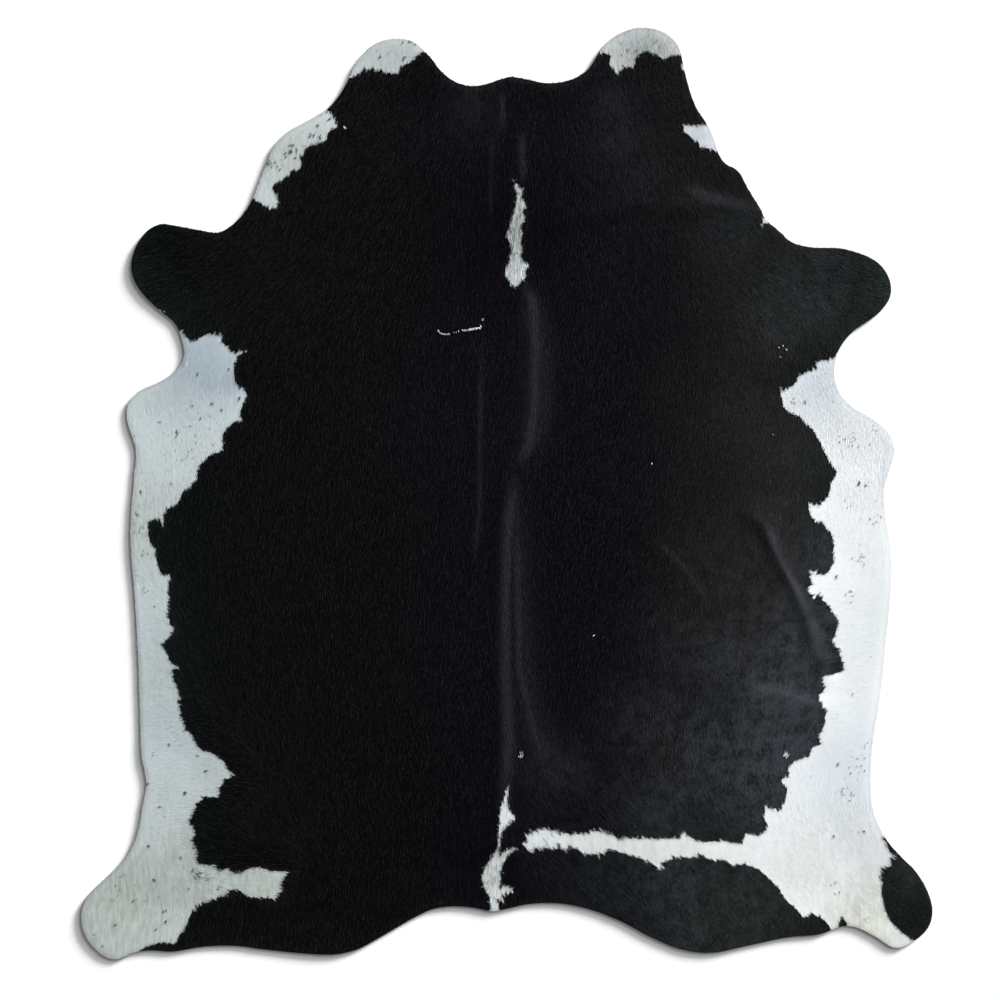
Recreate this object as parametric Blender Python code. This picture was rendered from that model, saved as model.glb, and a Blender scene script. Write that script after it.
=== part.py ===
"""Cowhide rug: one whole cowhide, hair side up, lying on a floor.

Metres, +Z up. The origin is on the floor under the middle of the hide, +Y runs along the spine
to the neck and +X to the right as seen from above. The hide is one closed solid: its leather and
the coat that lies on it, cut to the animal's outline and carried over the ridges, creases and
lifted edges of a hide that was rolled up before.
"""
from collections import namedtuple

import bpy
import numpy as np
from mathutils import Vector
from mathutils.geometry import delaunay_2d_cdt

CM = 0.01
MM = 0.001

# Driving dimensions.
HIDE_LENGTH = 2.288  # from the flaps beside the neck to the ends of the hind legs
HIDE_WIDTH = 2.090  # across the hind legs
LEATHER = 0.0025
COAT = 0.0025  # depth of the short hair where it lies flat
EDGE_COAT = 0.0010  # the coat is worn and pressed lower along the cut edge
EDGE_BAND = 0.014  # how far in from the cut the coat reaches its full depth
EDGE_CURL = 0.0045  # the dry edge of a hide curls up and stands this far off the floor all round
CURL_BAND = 0.11  # how far in from the cut it starts to rise

# How finely the surface is divided.
RIM_STEP = 0.020  # along the cut edge
BAND_STEP = 0.023  # along the row of points where the edge band ends
INNER_ROW = 0.050  # how far in from the cut the next row lies
FOLD_STEP = 0.040
OPEN_STEP = 0.068
CLEAR = 0.55  # share of the step that stays free round a point
FOLD_CLEAR = 0.8
ROW_KEEP = 0.9  # a row's point nearer the cut than this share of its distance is left out

# The outline, clockwise from the middle of the neck edge, in centimetres from the hide's middle:
# x to the right, y to the neck.
OUTLINE = {
    "neck edge, right half": [
        (0.8, 102.4), (5.7, 101.6), (9.6, 100.9), (13.8, 101.2), (17.3, 102.4), (20.2, 104.6),
        (22.9, 108.8),
    ],
    "right ear flap": [
        (25.4, 111.5), (29.1, 113.6), (33.0, 114.4), (36.9, 113.9), (40.1, 112.2), (42.3, 109.6),
        (43.1, 106.6),
    ],
    "right side of the neck": [
        (44.0, 102.6), (45.3, 98.0), (46.7, 94.5), (49.4, 90.4), (50.9, 86.9), (52.4, 82.7),
        (54.1, 80.8), (56.6, 79.5), (58.3, 76.8), (59.8, 73.9), (62.2, 70.2), (63.5, 67.5),
        (67.1, 64.3), (69.8, 61.9), (74.5, 60.6),
    ],
    "right foreleg": [
        (81.9, 60.3), (86.8, 59.0), (91.2, 56.7), (93.9, 52.8), (94.2, 48.6), (91.9, 44.9),
        (88.8, 42.4), (85.3, 40.0), (82.6, 37.0),
    ],
    "right armpit": [
        (80.9, 33.6), (80.4, 29.4), (81.4, 25.2), (84.8, 21.3), (88.8, 18.9), (92.4, 16.4),
    ],
    "right flank": [
        (94.4, 13.7), (95.1, 10.5), (93.9, 5.8), (92.6, 1.4), (92.9, -5.2), (94.2, -13.8),
        (94.4, -20.0), (92.7, -39.6), (91.1, -53.1), (89.7, -61.7), (89.3, -71.6), (90.0, -78.0),
        (93.4, -85.1),
    ],
    "right hind leg": [
        (96.6, -88.8), (100.6, -92.9), (103.5, -98.1), (104.5, -102.5), (103.5, -106.4),
        (100.3, -109.6), (95.4, -111.6), (90.5, -108.9), (85.6, -106.5), (82.1, -106.3),
    ],
    "rump edge": [
        (77.0, -108.2), (68.9, -109.0), (59.3, -111.0), (49.9, -112.8), (42.6, -111.9),
        (35.2, -108.9), (27.8, -105.0), (20.5, -102.2), (13.1, -100.7), (5.7, -100.8),
        (0.8, -101.8), (-3.4, -102.6), (-8.5, -101.7), (-13.2, -101.4), (-17.9, -102.0),
        (-22.8, -104.2), (-32.1, -109.6), (-36.8, -112.0), (-41.5, -113.1), (-46.1, -113.2),
        (-59.4, -112.0), (-66.5, -111.1), (-74.4, -111.3), (-82.2, -112.5), (-87.7, -112.2),
    ],
    "left hind leg": [
        (-92.3, -113.0), (-95.3, -114.4), (-98.5, -113.8), (-101.2, -111.6), (-103.4, -108.7),
        (-104.5, -104.5), (-103.9, -100.8), (-101.9, -97.8), (-95.0, -91.1), (-92.3, -87.5),
        (-90.6, -83.1),
    ],
    "left flank": [
        (-89.4, -76.5), (-88.5, -70.8), (-89.6, -64.7), (-90.1, -53.1), (-90.5, -40.8),
        (-91.3, -26.1), (-92.3, -13.8), (-92.3, -6.4), (-91.6, 3.4), (-91.1, 10.7),
        (-92.6, 15.7), (-93.4, 19.1),
    ],
    "left armpit": [
        (-92.8, 22.3), (-90.1, 25.2), (-85.2, 27.5), (-81.8, 29.7), (-79.5, 32.9),
        (-79.5, 36.5), (-81.5, 41.7),
    ],
    "left foreleg": [
        (-85.2, 44.9), (-88.6, 48.1), (-91.1, 51.5), (-92.2, 55.0), (-91.7, 58.9),
        (-90.1, 62.3), (-87.7, 65.0), (-84.7, 66.3), (-81.5, 65.9), (-75.4, 64.8),
        (-70.7, 64.2), (-66.8, 66.5), (-64.1, 69.5),
    ],
    "left side of the neck": [
        (-62.3, 72.7), (-59.1, 80.8), (-56.9, 85.7), (-53.7, 88.9), (-50.1, 90.9),
        (-45.9, 93.3), (-43.2, 95.3), (-40.7, 98.5), (-39.0, 101.4),
    ],
    "left ear flap": [
        (-38.0, 103.9), (-36.3, 106.6), (-33.6, 109.6), (-30.4, 111.2), (-27.0, 111.7),
        (-23.5, 111.2), (-20.8, 109.3), (-18.6, 107.1),
    ],
    "neck edge, left half": [
        (-16.4, 104.2), (-13.5, 101.7), (-10.0, 100.3), (-6.6, 100.3), (-2.6, 101.4),
    ],
}

# Ridges and creases that stand up from the floor: half their width in centimetres, their height
# in millimetres, and the line they follow, in centimetres.
Fold = namedtuple("Fold", "name half_width height route")
FOLDS = [
    Fold("spine", 4.0, 3.0, [
        (4.0, 89.9), (1.5, 72.2), (4.0, 49.3), (6.9, 36.5), (7.2, 27.2), (5.2, 13.2),
        (1.5, 3.9), (0.1, -11.9), (0.8, -27.6), (1.5, -43.3), (1.3, -60.5), (0.1, -75.2),
        (-2.9, -94.9),
    ]),
    Fold("loin, branching off the spine", 2.8, 2.0, [(1.5, -43.3), (4.0, -55.8), (8.7, -63.7)]),
    Fold("left of the spine", 2.8, 1.2, [(-7.1, 33.6), (-6.3, 11.7), (-7.3, -15.1)]),
    Fold("neck, left of the spine", 2.8, 1.2, [(-3.9, 93.1), (-3.9, 46.1)]),
    Fold("right flank", 2.6, 6.0, [
        (61.0, -5.2), (64.2, -8.4), (67.9, -16.3), (71.3, -23.7), (75.0, -32.3), (77.7, -41.6),
    ]),
    Fold("right loin, slanting", 2.8, 1.5, [(35.2, -10.4), (46.3, -22.9)]),
    Fold("right loin, level", 2.8, 1.2, [(32.2, -33.0), (69.8, -30.8)]),
    Fold("right haunch", 2.8, 1.8, [(60.3, -49.4), (77.7, -51.9)]),
    Fold("right shoulder", 2.8, 1.5, [(13.3, 68.0), (33.7, 71.9)]),
    Fold("right side of the neck", 3.4, 4.0, [(43.0, 70.8), (52.0, 71.6), (61.0, 70.6)]),
    Fold("left ribs", 2.8, 1.5, [(-49.3, -27.6), (-39.0, -7.2)]),
]

# Places where the edge stands higher than its curl: their middle, how far from it the rest of the
# lift has died away, both in centimetres, and how many millimetres the edge stands off the floor.
Lift = namedtuple("Lift", "name x y reach height")
LIFTS = [
    Lift("left ear flap", -28, 110, 24, 6.5),
    Lift("right ear flap", 33, 112, 24, 6.0),
    Lift("left foreleg", -90, 55, 30, 6.5),
    Lift("right foreleg", 92, 51, 27, 6.0),
    Lift("left flank", -92, -10, 44, 5.5),
    Lift("right flank", 94, -22, 40, 5.5),
    Lift("left haunch", -89, -66, 30, 5.5),
    Lift("left hind leg", -101, -105, 30, 6.5),
    Lift("right hind leg", 101, -104, 28, 6.5),
    Lift("left rump edge", -45, -112, 36, 6.0),
    Lift("right rump edge", 50, -111, 36, 5.5),
]


def smooth_step(share):
    """Eases from 0 to 1, level at both ends."""
    share = np.clip(share, 0.0, 1.0)
    return share * share * (3.0 - 2.0 * share)


def spline_through(points, closed, samples=24):
    """Points of a centripetal Catmull-Rom curve through the given points."""
    points = np.asarray(points, float)
    if closed:
        guides = np.vstack([points[-1], points, points[:2]])
    else:
        guides = np.vstack([2 * points[0] - points[1], points, 2 * points[-1] - points[-2]])
    share = np.linspace(0.0, 1.0, samples, endpoint=False)[:, None]
    curve = []
    for before, start, end, after in zip(guides, guides[1:], guides[2:], guides[3:]):
        t1 = np.sqrt(np.linalg.norm(start - before))
        t2 = t1 + np.sqrt(np.linalg.norm(end - start))
        t3 = t2 + np.sqrt(np.linalg.norm(after - end))
        t = t1 + share * (t2 - t1)
        a1 = before + (start - before) * t / t1
        a2 = start + (end - start) * (t - t1) / (t2 - t1)
        a3 = end + (after - end) * (t - t2) / (t3 - t2)
        b1 = a1 + (a2 - a1) * t / t2
        b2 = a2 + (a3 - a2) * (t - t1) / (t3 - t1)
        curve.append(b1 + (b2 - b1) * (t - t1) / (t2 - t1))
    curve = np.vstack(curve)
    return curve if closed else np.vstack([curve, points[-1]])


def even_steps(curve, step, closed):
    """The same curve with points about one step apart."""
    line = np.vstack([curve, curve[0]]) if closed else curve
    travelled = np.append(0.0, np.cumsum(np.linalg.norm(np.diff(line, axis=0), axis=1)))
    pieces = max(2, round(travelled[-1] / step))
    marks = np.linspace(0.0, travelled[-1], pieces + 1)
    even = np.stack([np.interp(marks, travelled, line[:, axis]) for axis in (0, 1)], axis=1)
    return even[:-1] if closed else even


def distance_to(line, points, closed=False):
    """How far each point is from a line."""
    ends = np.roll(line, -1, axis=0) if closed else line[1:]
    starts = line if closed else line[:-1]
    run = ends - starts
    nearest = np.full(len(points), np.inf)
    for start, along in zip(starts, run):
        share = np.clip((points - start) @ along / (along @ along), 0.0, 1.0)
        off = points - start - share[:, None] * along
        nearest = np.minimum(nearest, np.hypot(off[:, 0], off[:, 1]))
    return nearest


def inside(outline, points):
    """Whether each point is inside a closed outline."""
    crossed = np.zeros(len(points), bool)
    for (x1, y1), (x2, y2) in zip(outline, np.roll(outline, -1, axis=0)):
        spans = (y1 > points[:, 1]) != (y2 > points[:, 1])
        if spans.any():
            at = x1 + (points[:, 1] - y1) / (y2 - y1) * (x2 - x1)
            crossed ^= spans & (points[:, 0] < at)
    return crossed


def hide_outline():
    """The cut edge at its real size, centred on the origin."""
    corners = [point for stretch in OUTLINE.values() for point in stretch]
    edge = even_steps(spline_through(np.array(corners) * CM, closed=True), RIM_STEP, closed=True)
    low, high = edge.min(axis=0), edge.max(axis=0)
    return (edge - (low + high) / 2) * np.array([HIDE_WIDTH, HIDE_LENGTH]) / (high - low)


def fold_line(fold):
    return even_steps(spline_through(np.array(fold.route) * CM, closed=False), FOLD_STEP, closed=False)


def fold_height(points):
    """How high the ridges and creases lift the hide at each point."""
    height = np.zeros(len(points))
    for fold in FOLDS:
        share = np.clip(distance_to(fold_line(fold), points) / (fold.half_width * CM), 0.0, 1.0)
        height = np.maximum(height, fold.height * MM * (1 + np.cos(np.pi * share)) / 2)
    return height


def edge_lift(points, from_edge):
    """How high the curled and lifted edge stands at each point."""
    height = np.full(len(points), EDGE_CURL)
    for lift in LIFTS:
        off = points - np.array([lift.x, lift.y]) * CM
        near = smooth_step(1.0 - np.hypot(off[:, 0], off[:, 1]) / (lift.reach * CM))
        height = np.maximum(height, lift.height * MM * near)
    return height * smooth_step(1.0 - from_edge / CURL_BAND)


def inner_ring(edge, inset, step):
    """A row of points a set distance inside the cut edge."""
    ahead = np.roll(edge, -1, axis=0) - np.roll(edge, 1, axis=0)
    inward = np.stack([ahead[:, 1], -ahead[:, 0]], axis=1)
    inward /= np.linalg.norm(inward, axis=1)[:, None]
    ring = even_steps(edge + inward * inset, step, closed=True)
    return ring[distance_to(edge, ring, closed=True) > ROW_KEEP * inset]


def fold_rows(fold):
    """Points along a fold's crest, its two slopes and its two feet."""
    line = fold_line(fold)
    ahead = np.gradient(line, axis=0)
    across = np.stack([-ahead[:, 1], ahead[:, 0]], axis=1)
    across /= np.linalg.norm(across, axis=1)[:, None]
    shares = (0.0, -0.5, 0.5, -1.0, 1.0)
    return np.vstack([line + across * fold.half_width * CM * share for share in shares])


def open_grid():
    """Points of a triangular grid over the whole hide."""
    row_step = OPEN_STEP * np.sqrt(3) / 2
    columns = np.arange(-HIDE_WIDTH / 2, HIDE_WIDTH / 2, OPEN_STEP)
    rows = np.arange(-HIDE_LENGTH / 2, HIDE_LENGTH / 2, row_step)
    x, y = np.meshgrid(columns, rows)
    x[1::2] += OPEN_STEP / 2
    return np.stack([x.ravel(), y.ravel()], axis=1)


def well_inside(edge, points):
    """The points that lie further in than the rows along the cut edge."""
    return points[inside(edge, points) & (distance_to(edge, points, closed=True) > INNER_ROW)]


def spread(kept, more, clear):
    """Adds each point of `more` that is clear of every point kept so far."""
    for point in more:
        if np.hypot(*(kept - point).T).min() > clear:
            kept = np.vstack([kept, point])
    return kept


def plan_points(edge):
    """The edge's points first, then every point inside it, seen from above."""
    points = np.vstack([edge, inner_ring(edge, EDGE_BAND, BAND_STEP)])
    points = spread(points, inner_ring(edge, INNER_ROW, FOLD_STEP), FOLD_STEP * CLEAR)
    for fold in FOLDS:
        rows = well_inside(edge, fold_rows(fold))
        points = spread(points, rows, fold.half_width * CM / 2 * FOLD_CLEAR)
    return spread(points, well_inside(edge, open_grid()), OPEN_STEP * CLEAR)


def hide_mesh():
    """The closed solid: an underside, a hair side and the cut edge between them."""
    edge = hide_outline()
    plan = plan_points(edge)
    rim = list(range(len(edge)))
    flat, _, faces, *_ = delaunay_2d_cdt([Vector(p) for p in plan], [], [rim], 1, 1e-6)
    plan = np.array([tuple(p) for p in flat])

    from_edge = distance_to(edge, plan, closed=True)
    underside = np.maximum(fold_height(plan), edge_lift(plan, from_edge))
    coat = EDGE_COAT + (COAT - EDGE_COAT) * smooth_step(from_edge / EDGE_BAND)
    low = np.column_stack([plan, underside])
    high = np.column_stack([plan, underside + LEATHER + coat])

    count = len(plan)
    downward = [tuple(reversed(face)) for face in faces]
    upward = [tuple(corner + count for corner in face) for face in faces]
    sides = []
    for here, after in zip(rim, rim[1:] + rim[:1]):
        sides += [(after, here, here + count), (after, here + count, after + count)]
    mesh = bpy.data.meshes.new("hide")
    mesh.from_pydata(np.vstack([low, high]).tolist(), [], downward + upward + sides)
    mesh.validate()
    mesh.shade_smooth()
    mesh.set_sharp_from_angle(angle=np.radians(40))
    return mesh


def hair_material():
    """Short black cow hair with a soft sheen."""
    material = bpy.data.materials.new("black_hair")
    material.use_nodes = True
    shader = material.node_tree.nodes["Principled BSDF"]
    shader.inputs["Base Color"].default_value = (0.009, 0.009, 0.011, 1.0)
    shader.inputs["Roughness"].default_value = 0.55
    shader.inputs["Metallic"].default_value = 0.0
    material.diffuse_color = (0.03, 0.03, 0.035, 1.0)
    return material


for old in list(bpy.data.objects):
    bpy.data.objects.remove(old, do_unlink=True)

hide = bpy.data.objects.new("hide", hide_mesh())
hide.data.materials.append(hair_material())
bpy.context.scene.collection.objects.link(hide)
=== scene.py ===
import math
from collections import namedtuple

import bmesh
import bpy
import numpy as np
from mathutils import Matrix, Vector
from mathutils.bvhtree import BVHTree
from mathutils.geometry import delaunay_2d_cdt
from mathutils.kdtree import KDTree


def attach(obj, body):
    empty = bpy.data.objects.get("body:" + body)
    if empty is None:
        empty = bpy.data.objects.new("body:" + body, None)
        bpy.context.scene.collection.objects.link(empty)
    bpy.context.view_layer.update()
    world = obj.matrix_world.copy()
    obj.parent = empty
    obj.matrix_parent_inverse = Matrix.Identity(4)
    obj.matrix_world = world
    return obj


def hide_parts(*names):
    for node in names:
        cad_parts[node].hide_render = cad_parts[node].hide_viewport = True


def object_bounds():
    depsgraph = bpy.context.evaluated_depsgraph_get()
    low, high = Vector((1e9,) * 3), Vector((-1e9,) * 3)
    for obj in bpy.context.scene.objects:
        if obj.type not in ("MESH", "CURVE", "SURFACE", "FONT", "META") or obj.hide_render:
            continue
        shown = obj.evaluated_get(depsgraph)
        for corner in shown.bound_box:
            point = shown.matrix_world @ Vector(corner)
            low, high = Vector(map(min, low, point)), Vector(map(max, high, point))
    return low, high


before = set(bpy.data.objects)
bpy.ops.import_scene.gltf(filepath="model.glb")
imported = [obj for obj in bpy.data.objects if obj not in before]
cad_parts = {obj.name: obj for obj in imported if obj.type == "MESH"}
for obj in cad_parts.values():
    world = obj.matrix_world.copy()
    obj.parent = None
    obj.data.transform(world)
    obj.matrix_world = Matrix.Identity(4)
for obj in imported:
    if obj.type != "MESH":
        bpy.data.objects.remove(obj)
cad_box = [list(corner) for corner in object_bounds()]

# ---- The lie of the hair --------------------------------------------------------------------
# Cow hair grows in streams: from the neck to the tail along the back, out along each leg, and up
# towards the belly edge in the flanks. The coat and its patches' ragged edges follow them.

CM = 0.01
LIE_REACH = 0.07  # a stream pulls no harder nearer to its middle than this

# x and y in centimetres from the middle of the hide, and which way the tips point there, in
# degrees from the tail, turning towards the right flank.
Stream = namedtuple("Stream", "x y heading")


def table(kind, rows):
    """Rows of plain values as things of one kind."""
    return [kind(*row) for row in rows]


STREAMS = table(Stream, [
    (0, 98, 0), (0, 70, 0), (0, 40, 0), (0, 5, 0), (0, -30, 0), (0, -65, 0), (-3, -98, 0),
    (-28, 106, -18), (-30, 85, -25), (-52, 84, -12), (-58, 74, -10), (-35, 55, -15), (-62, 55, -50),
    (-86, 56, -70), (-76, 34, -15), (-35, 15, 8), (-65, 22, -8), (-85, 14, -4), (-80, 2, -4),
    (-35, -25, 4), (-66, -12, 6), (-90, -10, 10), (-88, -30, 50), (-88, -40, 66), (-72, -30, 8),
    (-66, -46, 8), (-58, -62, 10), (-88, -56, 84), (-78, -64, 96), (-66, -70, 96), (-40, -62, 4),
    (-58, -78, 12), (-82, -80, 90), (-60, -94, 112), (-74, -93, 90), (-84, -92, 20),
    (-98, -102, -45), (-80, -106, -30), (-64, -104, -12), (-45, -98, -8), (-25, -92, 0),
    (33, 108, 18), (30, 85, 22), (48, 87, 30), (58, 74, 28), (35, 55, 15), (62, 55, 45),
    (86, 52, 70), (78, 30, 12), (35, 15, -8), (65, 22, 4), (88, 10, 2), (80, 0, -6), (35, -25, -12),
    (66, -12, -14), (88, -14, -30), (80, -24, -74), (84, -42, -70), (68, -40, -30), (84, -60, -60),
    (72, -70, -20), (40, -62, 0), (62, -80, 35), (30, -84, 42), (12, -86, 48), (52, -88, 46),
    (76, -92, 30), (96, -100, 48), (20, -96, 32), (48, -102, 34), (74, -104, 30),
])


def lie_at(points):
    """The heading of the hair's tips at each point, as unit arrows."""
    places = np.array([(stream.x, stream.y) for stream in STREAMS]) * CM
    turn = np.radians([stream.heading for stream in STREAMS])
    arrows = np.stack([np.sin(turn), -np.cos(turn)], axis=1)
    off = ((points[:, None, :] - places) ** 2).sum(axis=2)
    lie = (1.0 / (off + LIE_REACH**2) ** 2) @ arrows
    return lie / np.linalg.norm(lie, axis=1)[:, None]


# ---- The patches ----------------------------------------------------------------------------
# The coat is black, with white along both flanks, on the ear flaps and down the spine. A patch's
# edge is ragged along the lie of the hair, where one colour's tips lie over the other. Outlines
# are in centimetres from the hide's middle, and the leather ends those that run past its cut.

TOOTH_STEP = 0.0036
TOOTH_LENGTH = 0.0062
TOOTH_TURN = 0.45  # how far a tooth turns out of the lie, in radians
TOOTH_WOBBLE = 0.0008
SHORT_TOOTH = 0.15  # the share of its length that every second tooth keeps
GAP_SHARE = 0.35  # of the teeth, which are gaps between the other colour's tips

# A soft place on the hide: its middle and reach in centimetres, and its strength.
Place = namedtuple("Place", "x y reach strength")
LONG_HAIRED = table(Place, [
    (14, -86, 26, 1), (-4, -92, 14, 1), (2, 64, 18, 0.9), (-66, -94, 12, 0.7), (94, -88, 7, 1),
])
LONGER_TEETH = 1.2  # the share of their length that teeth gain there
LONGER_LOCKS = 0.35  # and that locks gain
WHITE_SEED = 10  # for the first white patch's teeth; each next patch takes the next seed
BLACK_SEED = 50  # the same for the black spots

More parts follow.
